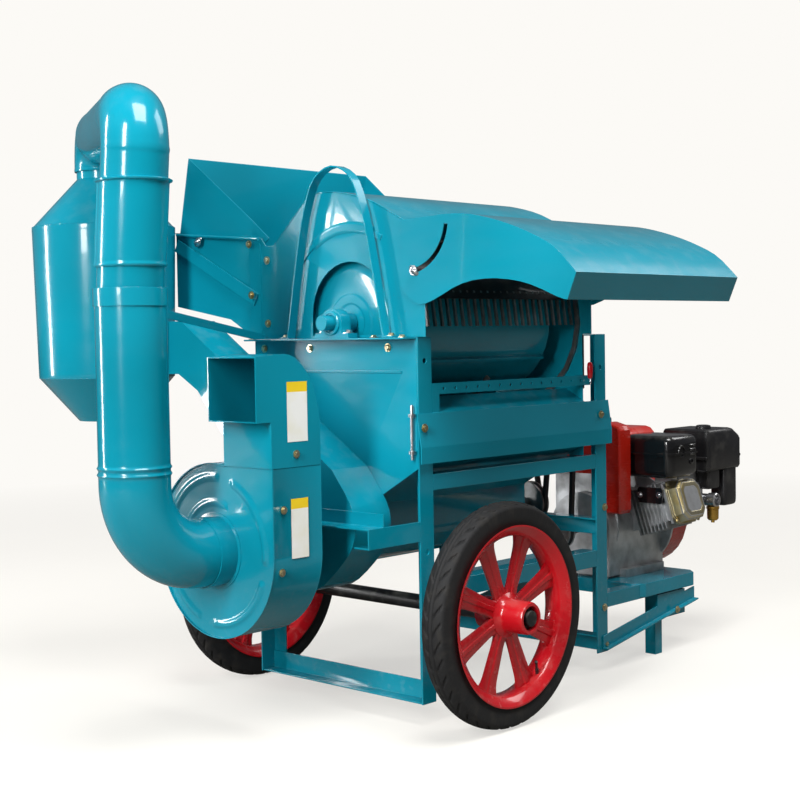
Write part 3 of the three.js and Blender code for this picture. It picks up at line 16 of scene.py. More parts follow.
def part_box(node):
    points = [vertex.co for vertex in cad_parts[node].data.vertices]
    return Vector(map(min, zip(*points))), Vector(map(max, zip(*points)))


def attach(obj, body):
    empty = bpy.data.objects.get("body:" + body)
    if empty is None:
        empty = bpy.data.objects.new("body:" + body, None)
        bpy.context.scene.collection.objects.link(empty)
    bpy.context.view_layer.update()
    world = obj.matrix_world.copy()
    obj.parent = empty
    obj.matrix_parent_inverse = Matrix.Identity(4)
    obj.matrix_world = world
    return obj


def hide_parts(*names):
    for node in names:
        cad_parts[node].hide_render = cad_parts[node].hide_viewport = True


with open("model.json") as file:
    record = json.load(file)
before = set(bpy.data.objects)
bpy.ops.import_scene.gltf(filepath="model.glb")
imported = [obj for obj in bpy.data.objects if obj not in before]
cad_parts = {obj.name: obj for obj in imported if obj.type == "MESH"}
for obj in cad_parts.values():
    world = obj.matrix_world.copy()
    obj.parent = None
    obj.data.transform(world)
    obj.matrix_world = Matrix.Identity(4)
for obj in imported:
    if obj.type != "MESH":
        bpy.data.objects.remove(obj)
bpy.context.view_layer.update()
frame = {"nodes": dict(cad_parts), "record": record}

log = logging.getLogger("threshing_machine")
Triple = tuple[float, float, float]
MM = 0.001
SAME_POINT = 1e-6
SHOWN = "_shown"
NODES = frame["nodes"]
BODY_OF = {n: b for b, members in frame["record"]["behaviour"]["bodies"].items() for n in members}
SLOT_OF = {row["node"]: row["material_slot"] for row in frame["record"]["subparts"]}
# The drawing's zero is the foot corner of the front right post.
_post_low, _post_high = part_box("post_front_right")
DATUM = np.array([_post_high.x, _post_low.y, _post_low.z])


def place(points: np.ndarray) -> np.ndarray:
    """Turns drawing points in millimetres into metres in the part's frame.

    Args:
        points: an array whose last axis is x, y, z, counted from the front right post's foot corner.

    Returns:
        The points in metres: millimetres times 0.001, plus the corner's own place.
    """
    return np.asarray(points, float) * MM + DATUM


def linear(colour: Triple) -> tuple[float, float, float, float]:
    """Turns a display colour of 0 to 255 into the linear colour that shaders take.

    Args:
        colour: red, green and blue as a screen shows them.

    Returns:
        Linear red, green, blue and an alpha of one.
    """
    c = np.array(colour) / 255
    low = c / 12.92
    high = ((c + 0.055) / 1.055) ** 2.4
    return (*np.where(c <= 0.04045, low, high).tolist(), 1.0)


class Value:
    """One output socket of a shader, with the arithmetic that masks need."""

    def __init__(self, graph: "Graph", socket: bpy.types.NodeSocket) -> None:
        """Keeps the graph that the socket belongs to."""
        self.graph = graph
        self.socket = socket

    def _math(self, operation: str, first: object, second: object) -> "Value":
        """Adds one Math node.

        Args:
            operation: the Math node's operation.
            first: its first input.
            second: its second input.

        Returns:
            The node's result.
        """
        return self.graph.node("ShaderNodeMath", {"operation": operation}, {0: first, 1: second})

    def __add__(self, other: object) -> "Value":
        """Sum of the two."""
        return self._math("ADD", self, other)

    __radd__ = __add__

    def __mul__(self, other: object) -> "Value":
        """Product of the two."""
        return self._math("MULTIPLY", self, other)

    __rmul__ = __mul__

    def __sub__(self, other: object) -> "Value":
        """This less the other."""
        return self._math("SUBTRACT", self, other)

    def __rsub__(self, other: object) -> "Value":
        """The other less this."""
        return self._math("SUBTRACT", other, self)

    def above(self, low: float, high: float) -> "Value":
        """Zero below low, one above high and a straight slope between.

        Args:
            low: the value at which the mask starts.
            high: the value at which it is full.

        Returns:
            The mask.
        """
        limits = {"Value": self, "From Min": low, "From Max": high}
        return self.graph.node("ShaderNodeMapRange", {"clamp": True}, limits)


class Graph:
    """A material's nodes, added one by one around its Principled shader."""

    def __init__(self, name: str) -> None:
        """Starts a material that holds only its output and its shader."""
        self.material = bpy.data.materials.new(name)
        self.material.use_nodes = True
        self.tree = self.material.node_tree
        self.shader = self.tree.nodes["Principled BSDF"]
        self.coords = self.node("ShaderNodeTexCoord", output="Object")

    def node(self, kind: str, settings: dict | None = None, inputs: dict | None = None,
             output: int | str = 0) -> Value:
        """Adds a node, sets it up and links or sets its inputs.

        Args:
            kind: the node's type.
            settings: the node's own settings, set first.
            inputs: values, or links from other nodes, by socket name or number.
            output: the output that the result stands for.

        Returns:
            The chosen output.
        """
        made = self.tree.nodes.new(kind)
        for key, setting in (settings or {}).items():
            setattr(made, key, setting)
        for key, value in (inputs or {}).items():
            if isinstance(value, Value):
                self.tree.links.new(value.socket, made.inputs[key])
            else:
                made.inputs[key].default_value = value
        return Value(self, made.outputs[output])

    def noise(self, scale: float, detail: float = 3.0,
              stretch: Triple | None = None) -> Value:
        """Adds a noise texture on the object's own coordinates.

        Args:
            scale: how many blotches there are in a metre.
            detail: how many finer layers it has.
            stretch: factors for the coordinates, for brushed or streaked marks.

        Returns:
            The noise, about zero to one.
        """
        where = self.coords
        if stretch:
            where = self.node("ShaderNodeMapping", None, {"Vector": where, "Scale": stretch})
        return self.node("ShaderNodeTexNoise", None, {"Vector": where, "Scale": scale, "Detail": detail})

    def blend(self, mask: Value, first: object, second: object) -> Value:
        """Mixes two colours.

        Args:
            mask: zero for the first colour, one for the second.
            first: a colour or a link.
            second: a colour or a link.

        Returns:
            The mixed colour.
        """
        return self.node("ShaderNodeMix", {"data_type": "RGBA"}, {0: mask, 6: first, 7: second}, output=2)

    def facing_up(self) -> Value:
        """How far the surface faces up, from minus one to one."""
        normal = self.node("ShaderNodeNewGeometry", output="Normal")
        return self.node("ShaderNodeSeparateXYZ", None, {0: normal}, output="Z")

    def height(self) -> Value:
        """The place's height above the ground in metres."""
        return self.node("ShaderNodeSeparateXYZ", None, {0: self.coords}, output="Z")

    def bump(self, height: Value, depth: float, strength: float, under: Value | None = None) -> Value:
        """Turns a height into a surface normal.

        Args:
            height: the height pattern.
            depth: metres between its zero and its one.
            strength: the share that is applied.
            under: the normal of a finer bump that this one adds to.

        Returns:
            The normal.
        """
        inputs = {"Height": height, "Distance": depth, "Strength": strength}
        if under:
            inputs["Normal"] = under
        return self.node("ShaderNodeBump", None, inputs, output="Normal")

    def finish(self, links: dict[str, Value], constants: dict[str, float]) -> bpy.types.Material:
        """Links what changes and sets what doesn't on the shader.

        Args:
            links: links by the shader's socket name.
            constants: values by the shader's socket name.

        Returns:
            The material.
        """
        for key, value in links.items():
            self.tree.links.new(value.socket, self.shader.inputs[key])
        for key, value in constants.items():
            self.shader.inputs[key].default_value = value
        return self.material


@dataclass(frozen=True)
class Spots:
    """Noise that is cut to a mask, which starts at the low noise and is full at the high one."""

    scale: float
    detail: float
    low: float
    high: float

    def on(self, graph: Graph) -> Value:
        """The mask's value in a graph."""
        return graph.noise(self.scale, self.detail).above(self.low, self.high)


@dataclass(frozen=True)
class Enamel:
    """Sprayed enamel over sheet steel: an even gloss with orange peel, faint dents, chips and dust."""

    name: str
    colour: Triple
    gloss: float = 0.2
    dust: float = 0.22
    coat: float = 0.5
    dust_colour: Triple = (186, 184, 172)
    chip_colour: Triple = (70, 72, 74)
    dark_share: float = 0.86
    chip_share: float = 0.55
    tones: Spots = Spots(2.6, 2.0, 0.3, 0.7)
    grime: Spots = Spots(34.0, 6.0, 0.46, 0.78)
    splashes: Spots = Spots(60.0, 5.0, 0.55, 0.8)
    chips: Spots = Spots(210.0, 3.0, 0.735, 0.75)
    chip_zones: Spots = Spots(9.0, 2.0, 0.52, 0.6)
    splash_top: float = 0.4
    peel_depth: float = 0.00012
    dent_depth: float = 0.0035
    relief: float = 0.35
    coat_rough: float = 0.03
    specular: float = 0.3

    def make(self) -> bpy.types.Material:
        """Builds the paint's nodes."""
        g = Graph(self.name)
        darker = linear(tuple(c * self.dark_share for c in self.colour))
        tone = g.blend(self.tones.on(g), linear(self.colour), darker)
        settled = self.grime.on(g) * g.facing_up().above(0.2, 1.0) * self.dust
        low_down = 1 - g.height().above(0.05, self.splash_top)
        dirt = settled + self.splashes.on(g) * low_down * self.dust
        chips = self.chips.on(g) * self.chip_zones.on(g)
        dusty = g.blend(dirt, tone, linear(self.dust_colour))
        smears = g.noise(14.0, 4.0, (1.0, 1.0, 3.0))
        peel = g.bump(g.noise(520.0, 2.0), self.peel_depth, self.relief)
        return g.finish({"Base Color": g.blend(chips * self.chip_share, dusty, linear(self.chip_colour)),
                         "Roughness": smears * 0.16 + (self.gloss - 0.05) + dirt * 0.5,
                         "Normal": g.bump(g.noise(7.0, 1.0), self.dent_depth, self.relief, peel)},
                        {"Coat Weight": self.coat, "Coat Roughness": self.coat_rough,
                         "Specular IOR Level": self.specular})


@dataclass(frozen=True)
class Metal:
    """Bare or plated metal with a fine grain, darker oiled patches and a few scratches."""

    name: str
    colour: Triple
    patches: Triple
    rough: float = 0.35
    grain: float = 900.0
    depth: float = 0.00008
    stretch: Triple = (1.0, 1.0, 1.0)
    oiled: Spots = Spots(22.0, 5.0, 0.4, 0.72)
    relief: float = 0.6

    def make(self) -> bpy.types.Material:
        """Builds the metal's nodes."""
        g = Graph(self.name)
        patch = self.oiled.on(g)
        fine = g.noise(self.grain, 2.0, self.stretch)
        colour = g.blend(patch, linear(self.colour), linear(self.patches))
        rough = fine * 0.18 + patch * 0.14 + (self.rough - 0.12)
        return g.finish({"Base Color": colour, "Roughness": rough,
                         "Normal": g.bump(fine, self.depth, self.relief)}, {"Metallic": 1.0})


@dataclass(frozen=True)
class Rubber:
    """Moulded rubber: almost black, with dry dust where it is rough."""

    name: str
    colour: Triple = (26, 26, 27)
    worn: Triple = (66, 62, 56)
    rough: float = 0.7
    dusty: Spots = Spots(46.0, 6.0, 0.5, 0.85)
    pore_depth: float = 0.00015
    relief: float = 0.7

    def make(self) -> bpy.types.Material:
        """Builds the rubber's nodes."""
        g = Graph(self.name)
        dust = self.dusty.on(g) * 0.5
        pores = g.noise(1400.0, 2.0)
        colour = g.blend(dust, linear(self.colour), linear(self.worn))
        rough = pores * 0.12 + (self.rough - 0.06) + dust * 0.3
        return g.finish({"Base Color": colour, "Roughness": rough,
                         "Normal": g.bump(pores, self.pore_depth, self.relief)}, {"Specular IOR Level": 0.35})


@dataclass(frozen=True)
class Plastic:
    """Moulded plastic or heat-proof paint with a fine leathery grain."""

    name: str
    colour: Triple
    rough: float = 0.4
    dust_colour: Triple = (120, 118, 112)
    dusty: Spots = Spots(30.0, 6.0, 0.5, 0.85)
    grain_scale: float = 760.0
    grain_depth: float = 0.00012
    relief: float = 0.5

    def make(self) -> bpy.types.Material:
        """Builds the plastic's nodes."""
        g = Graph(self.name)
        cells = {"Vector": g.coords, "Scale": self.grain_scale}
        grain = g.node("ShaderNodeTexVoronoi", None, cells, output="Distance")
        dust = self.dusty.on(g) * 0.22
        colour = g.blend(dust, linear(self.colour), linear(self.dust_colour))
        rough = grain * 0.14 + (self.rough - 0.05) + dust * 0.4
        return g.finish({"Base Color": colour, "Roughness": rough,
                         "Normal": g.bump(grain, self.grain_depth, self.relief)}, {})


@dataclass(frozen=True)
class Foil:
    """A blank printed sticker: coloured film with a faint wrinkle."""

    name: str
    colour: Triple
    yellowing: Triple = (0.97, 0.96, 0.9)
    aged: Spots = Spots(25.0, 4.0, 0.4, 0.8)
    rough: float = 0.26
    wrinkle_depth: float = 0.0004
    relief: float = 0.5

    def make(self) -> bpy.types.Material:
        """Builds the film's nodes."""
        g = Graph(self.name)
        wrinkle = g.noise(70.0, 3.0)
        yellowed = tuple(c * s for c, s in zip(self.colour, self.yellowing))
        colour = g.blend(self.aged.on(g), linear(self.colour), linear(yellowed))
        return g.finish({"Base Color": colour, "Roughness": wrinkle * 0.12 + self.rough,
                         "Normal": g.bump(wrinkle, self.wrinkle_depth, self.relief)}, {})


class Finish(Enum):
    """Every finish on the machine."""

    TEAL = Enamel("glossy_teal", (8, 144, 167), 0.15, 0.08, 0.4)
    RED = Enamel("glossy_red", (205, 18, 30), 0.22, 0.12)
    BLACK_PAINT = Enamel("satin_black", (24, 24, 26), 0.34, 0.2, 0.1)
    ORANGE = Enamel("glossy_orange", (204, 34, 18), 0.24, 0.12)
    STEEL = Metal("worn_steel", (150, 150, 150), (92, 88, 84), 0.42, 700.0, 0.0001, (1.0, 0.12, 1.0))
    ALLOY = Metal("rough_alloy", (196, 198, 200), (150, 150, 150), 0.5, 620.0, 0.0004)
    ZINC = Metal("zinc_plating", (206, 198, 170), (168, 150, 96), 0.34, 1300.0)
    BRIGHT = Metal("bright_steel", (214, 214, 216), (170, 170, 172), 0.26, 1300.0)
    BRASS = Metal("brass_plating", (214, 172, 84), (170, 130, 60), 0.3, 1300.0)
    GLOSS_BLACK = Enamel("gloss_black", (18, 18, 20), 0.2, 0.16, 0.6)
    TYRE = Rubber("tyre_tread")
    BELT = Rubber("belt_face", (20, 20, 21), (48, 46, 44), 0.6)
    BLACK_PLASTIC = Plastic("grained_plastic", (22, 22, 24))
    CASE_BLACK = Plastic("heatproof_black", (26, 26, 28), 0.32)
    LABEL = Foil("blank_label", (240, 240, 236))
    LABEL_HEAD = Foil("blank_label_head", (243, 208, 40))

    @property
    def material(self) -> bpy.types.Material:
        """The finish's material, made the first time that it is asked for."""
        return bpy.data.materials.get(self.value.name) or self.value.make()


FINISH_OF_SLOT = {
    "teal_enamel": Finish.TEAL,
    "red_enamel": Finish.RED,
    "black_enamel": Finish.BLACK_PAINT,
    "bare_steel": Finish.STEEL,
    "tyre_rubber": Finish.TYRE,
    "belt_rubber": Finish.BELT,
    "cast_alloy": Finish.ALLOY,
    "orange_enamel": Finish.ORANGE,
    "black_plastic": Finish.BLACK_PLASTIC,
}


def grid_faces(rows: int, columns: int, close_rows: bool, close_columns: bool) -> np.ndarray:
    """Numbers the four-sided faces of a grid of points.

    Args:
        rows: how many rows of points there are.
        columns: how many points there are in a row.
        close_rows: joins the last row to the first.
        close_columns: joins each row's last point to its first.

    Returns:
        An array of faces by four corner numbers: (i, j), (i, j+1), (i+1, j+1), (i+1, j), with wrap-around.
    """
    i, j = np.indices((rows - (not close_rows), columns - (not close_columns)))
    ni, nj = (i + 1) % rows, (j + 1) % columns
    quads = np.stack([i * columns + j, i * columns + nj, ni * columns + nj, ni * columns + j], axis=-1)
    return quads.reshape(-1, 4)


@dataclass
class Shell:
    """Points and faces that grow into one mesh."""

    points: list[np.ndarray] = field(default_factory=list)
    faces: list[list[int]] = field(default_factory=list)

    def grid(self, points: np.ndarray, close_rows: bool = False, close_columns: bool = False,
             caps: bool = False) -> "Shell":
        """Adds a grid of points as a surface.

        Args:
            points: an array of rows by columns by three, in metres.
            close_rows: joins the last row to the first.
            close_columns: joins each row's ends.
            caps: closes the first and the last row with one face each.

        Returns:
            The same shell.
        """
        rows, columns = points.shape[:2]
        faces = grid_faces(rows, columns, close_rows, close_columns).tolist()
        if caps:
            faces += [list(range(columns))[::-1], list(range((rows - 1) * columns, rows * columns))]
        start = sum(len(p) for p in self.points)
        self.points.append(np.asarray(points, float).reshape(-1, 3))
        self.faces.extend([[corner + start for corner in face] for face in faces])
        return self

    def turn(self, profile: object, centre: object, axis: str, segments: int, closed: bool = True) -> "Shell":
        """Adds a profile turned about an axis: turned() says what the arguments are."""
        return self.grid(turned(profile, centre, axis, segments, closed), close_columns=True)

    def stack(self, outline: object, levels: list[tuple[float, float]], axis: str) -> "Shell":
        """Adds a stacked outline, closed at both ends: stacked() says what the arguments are."""
        return self.grid(place(stacked(outline, levels, axis)), close_columns=True, caps=True)

    def piece(self, name: str, finish: Finish, body: str = "machine", crease: float = 34.0, edge: float = 0.0,
              node: str = "") -> bpy.types.Object:
        """Makes the mesh object, points its faces outwards, and fits it to a body.

        Args:
            name: the piece's name.
            finish: its finish.
            body: the body that it moves with.
            crease: the angle in degrees above which an edge stays sharp.
            edge: the width in metres by which sharp edges are eased.
            node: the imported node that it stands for, or none for a fitting of its own.

        Returns:
            The object.
        """
        mesh = bpy.data.meshes.new(name)
        mesh.from_pydata(np.concatenate(self.points).tolist(), [], self.faces)
        with reworked(mesh) as work:
            bmesh.ops.remove_doubles(work, verts=work.verts, dist=SAME_POINT)
            bmesh.ops.recalc_face_normals(work, faces=work.faces)
        return fitted(mesh, name, finish, body, crease, edge, node)

    def stand_in(self, node: str, finish: Finish | None = None, crease: float = 34.0) -> bpy.types.Object:
        """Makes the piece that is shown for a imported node, on that node's body.

        Args:
            node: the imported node.
            finish: its finish, or none for that of the node's slot.
            crease: the angle in degrees above which an edge stays sharp.

        Returns:
            The object.
        """
        finish = finish or FINISH_OF_SLOT[SLOT_OF[node]]
        return self.piece(node + SHOWN, finish, BODY_OF[node], crease, node=node)


@contextmanager
def reworked(mesh: bpy.types.Mesh) -> Iterator[bmesh.types.BMesh]:
    """Lends a mesh's points and faces for editing, and puts them back."""
    work = bmesh.new()
    work.from_mesh(mesh)
    yield work
    work.to_mesh(mesh)
    work.free()


def fitted(mesh: bpy.types.Mesh, name: str, finish: Finish, body: str, crease: float, edge: float = 0.0,
           node: str = "") -> bpy.types.Object:
    """Puts a mesh in the scene with its finish, its smooth shading and its body.

    Args:
        mesh: the mesh, with its place in its points.
        name: the piece's name.
        finish: its finish.
        body: the body that it moves with.
        crease: the angle in degrees above which an edge stays sharp.
        edge: the width in metres by which sharp edges are eased.
        node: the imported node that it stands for, or none.

    Returns:
        The object.
    """
    thing = bpy.data.objects.new(name, mesh)
    bpy.context.scene.collection.objects.link(thing)
    mesh.polygons.foreach_set("use_smooth", np.ones(len(mesh.polygons), bool))
    mesh.set_sharp_from_angle(angle=math.radians(crease))
    mesh.materials.clear()
    mesh.materials.append(finish.material)
    if edge:
        bevel = thing.modifiers.new("eased_edges", "BEVEL")
        bevel.width, bevel.segments, bevel.limit_method = edge, 2, "ANGLE"
        bevel.angle_limit = math.radians(crease)
        bevel.harden_normals = True
    if node:
        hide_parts(node)
    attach(thing, body)
    log.info("%s rides on %s", name, body)
    return thing


def full_turn(steps: int) -> np.ndarray:
    """Even angles once round, without the last, which is the first again."""
    return np.linspace(0, 2 * np.pi, steps, endpoint=False)


def ring(angles: np.ndarray, first: np.ndarray, second: np.ndarray) -> np.ndarray:
    """Unit circle in the plane of two directions: first times cosine plus second times sine."""
    return np.cos(angles)[..., None] * first + np.sin(angles)[..., None] * second


def turned(profile: object, centre: object, axis: str, segments: int, closed: bool = True) -> np.ndarray:
    """Turns a profile about an axis of the drawing.

    Args:
        profile: rows of radius and place along the axis, in millimetres.
        centre: the drawing point that the axis passes through.
        axis: "X", "Y" or "Z".
        segments: how many steps there are round it.
        closed: repeats the first row, so that the profile is a closed loop.

    Returns:
        A grid of metres: centre plus radius times the unit circle plus distance along the axis.
    """
    order = np.roll(np.eye(3), -"XYZ".index(axis), axis=0)
    profile = np.asarray(profile, float)
    if closed:
        profile = np.vstack([profile, profile[:1]])
    circle = ring(full_turn(segments), order[1], order[2])
    points = profile[:, None, :1] * circle[None] + profile[:, None, 1:] * order[0]
    return place(points + np.asarray(centre, float))


def swept(path: np.ndarray, normal: np.ndarray, radius: np.ndarray | float, sides: int = 40) -> np.ndarray:
    """Carries a circle along a path.

    Args:
        path: points in millimetres.
        normal: a direction that the path never runs along.
        radius: the circle's radius, or one radius for each point.
        sides: how many steps there are round it.

    Returns:
        A grid of metres: path point plus radius times the circle square to the path's direction.
    """
    along = np.gradient(path, axis=0)
    along /= np.linalg.norm(along, axis=1, keepdims=True)
    side = normal - (along @ normal)[:, None] * along
    side /= np.linalg.norm(side, axis=1, keepdims=True)
    up = np.cross(side, along)
    angles = full_turn(sides)
    radii = np.broadcast_to(np.asarray(radius, float), (len(path),))
    circle = ring(angles[None], side[:, None, :], up[:, None, :])
    return place(path[:, None, :] + radii[:, None, None] * circle)


def rounded(low: tuple[float, float], high: tuple[float, float], corner: float, steps: int = 6) -> np.ndarray:
    """Outline of a rectangle whose corners are quarter circles.

    Args:
        low: its lower corner in millimetres.
        high: its upper corner.
        corner: the quarter circles' radius.
        steps: how many points each quarter circle has.

    Returns:
        Rows of two places: each corner's centre plus the radius times the unit circle.
    """
    low, high = np.array(low, float) + corner, np.array(high, float) - corner
    angles = np.linspace(0, np.pi / 2, steps)[None] + np.arange(4)[:, None] * np.pi / 2
    one = np.array([high[0], low[0], low[0], high[0]])[:, None] + corner * np.cos(angles)
    two = np.array([high[1], high[1], low[1], low[1]])[:, None] + corner * np.sin(angles)
    return np.stack([one.ravel(), two.ravel()], -1)


def stacked(outline: np.ndarray, levels: list[tuple[float, float]], axis: str) -> np.ndarray:
    """Repeats an outline along an axis of the drawing, drawn in by an inset at each level.

    Args:
        outline: rows of two places, in the order y z, z x or x y that follows the axis X, Y or Z.
        levels: the place along the axis and the inset of each level.
        axis: "X", "Y" or "Z".

    Returns:
        A grid of millimetres: the middle plus the offset from it, scaled so that its sides come in.
    """
    one, two, along = {"X": (1, 2, 0), "Y": (2, 0, 1), "Z": (0, 1, 2)}[axis]
    outline, rows = np.asarray(outline, float), np.asarray(levels, float)
    middle = (outline.min(0) + outline.max(0)) / 2
    half = (outline.max(0) - outline.min(0)) / 2
    flat = middle + (outline - middle)[None] * (1 - rows[:, None, 1:] / half)
    grid = np.empty((*flat.shape[:2], 3))
    grid[..., one], grid[..., two] = flat[..., 0], flat[..., 1]
    grid[..., along] = rows[:, :1]
    return grid


def weld(centre: Triple, radius: float, dots: int, bead: float = 1.3) -> np.ndarray:
    """A level ring of weld dots.

    Args:
        centre: the ring's middle in millimetres.
        radius: its radius.
        dots: how many dots there are round it.
        bead: a dot's greatest radius.

    Returns:
        A grid of metres: a small circle carried round a large one, which swells and shrinks with the angle.
    """
    around = full_turn(dots * 6)
    about = full_turn(8)
    a, b = np.meshgrid(around, about, indexing="ij")
    tube = bead * (0.62 + 0.38 * np.cos(a * dots))
    out = radius + tube * np.cos(b)
    return place(np.stack([out * np.cos(a), out * np.sin(a), tube * np.sin(b)], -1) + np.array(centre))


def pipe(path: np.ndarray, normal: np.ndarray, radius: np.ndarray, wall: float) -> Shell:
    """A pipe with a wall: an outer and an inner swept grid joined into one loop of rows.

    Args:
        path: points in millimetres.
        normal: the normal of the path's plane.
        radius: the outer radius at each point.
        wall: the wall's thickness.

    Returns:
        The closed shell.
    """
    outer = swept(path, normal, radius, 64)
    inner = swept(path, normal, radius - wall, 64)[::-1]
    return Shell().grid(np.concatenate([outer, inner]), close_rows=True, close_columns=True)


def bell(place_on: np.ndarray, middle: float, width: float, power: int = 2) -> np.ndarray:
    """A swell of one at the middle: e to the minus (distance over width) to a power."""
    return np.exp(-(((place_on - middle) / width) ** power))


def ramp(value: np.ndarray, start: float, span: float) -> np.ndarray:
    """Zero up to the start, one a span later and a straight slope between."""
    return np.clip((value - start) / span, 0, 1)


class Axis(Enum):
    """The way a fastener's head points, as a unit direction in the drawing."""

    RIGHT = (1.0, 0.0, 0.0)
    LEFT = (-1.0, 0.0, 0.0)
    FRONT = (0.0, -1.0, 0.0)
    UP = (0.0, 0.0, 1.0)
    HEAD = (0.9511, 0.0, 0.309)


@dataclass
class Bolts:
    """Hexagon bolts with a washer: turned profiles whose radius follows a hexagon on the head's rows."""

    name: str
    places: list[tuple[float, float, float, Axis]]
    across: float = 9.0
    finish: Finish = Finish.ZINC
    turn_each: float = 0.7

    def make(self) -> bpy.types.Object:
        """Builds all the bolts as one mesh.

        The radius is the profile's, divided on a head row by the cosine of the angle to the nearest flat.

        Returns:
            The object.
        """
        half, rise = self.across / 2, self.across * 0.42
        washer, foot = 1.4, 1.5
        profile = np.array([[0, 0], [half * 1.75, 0], [half * 1.75, washer], [half * 0.98, washer],
                            [half, foot], [half, foot + rise * 0.85], [half * 0.86, foot + rise],
                            [0, foot + rise]])
        head_row = np.array([0, 0, 0, 1, 1, 1, 0, 0], float)
        angles = full_turn(12)
        flat = np.abs((angles + np.pi / 6) % (np.pi / 3) - np.pi / 6)
        stretch = 1 + head_row[:, None] * (1 / np.cos(flat)[None] - 1)
        shell = Shell()
        for number, (x, y, z, axis) in enumerate(self.places):
            along = np.array(axis.value)
            one = np.cross(along, np.eye(3)[np.argmin(np.abs(along))])
            one /= np.linalg.norm(one)
            circle = ring(angles + number * self.turn_each, one, np.cross(along, one))
            points = (profile[:, :1] * stretch)[..., None] * circle[None] + profile[:, 1, None, None] * along
            shell.grid(place(points + np.array([x, y, z])), close_columns=True)
        return shell.piece(self.name, self.finish, crease=28.0)


@dataclass
class DressedNodes:
    """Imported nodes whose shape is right: merged copies with eased edges and their slot's finish show them."""

    edge: float = 0.0007
    crease: float = 30.0
    flat_degrees: float = 0.4
    merge: float = 2e-5

    def make(self) -> None:
        """Shows every node that no finer piece stands for yet."""
        for node in sorted(node for node in NODES if node + SHOWN not in bpy.data.objects):
            mesh = NODES[node].data.copy()
            with reworked(mesh) as work:
                bmesh.ops.remove_doubles(work, verts=work.verts, dist=self.merge)
                bmesh.ops.dissolve_limit(work, angle_limit=math.radians(self.flat_degrees), verts=work.verts,
                                         edges=work.edges)
            finish = FINISH_OF_SLOT[SLOT_OF[node]]
            fitted(mesh, node + SHOWN, finish, BODY_OF[node], self.crease, self.edge, node)


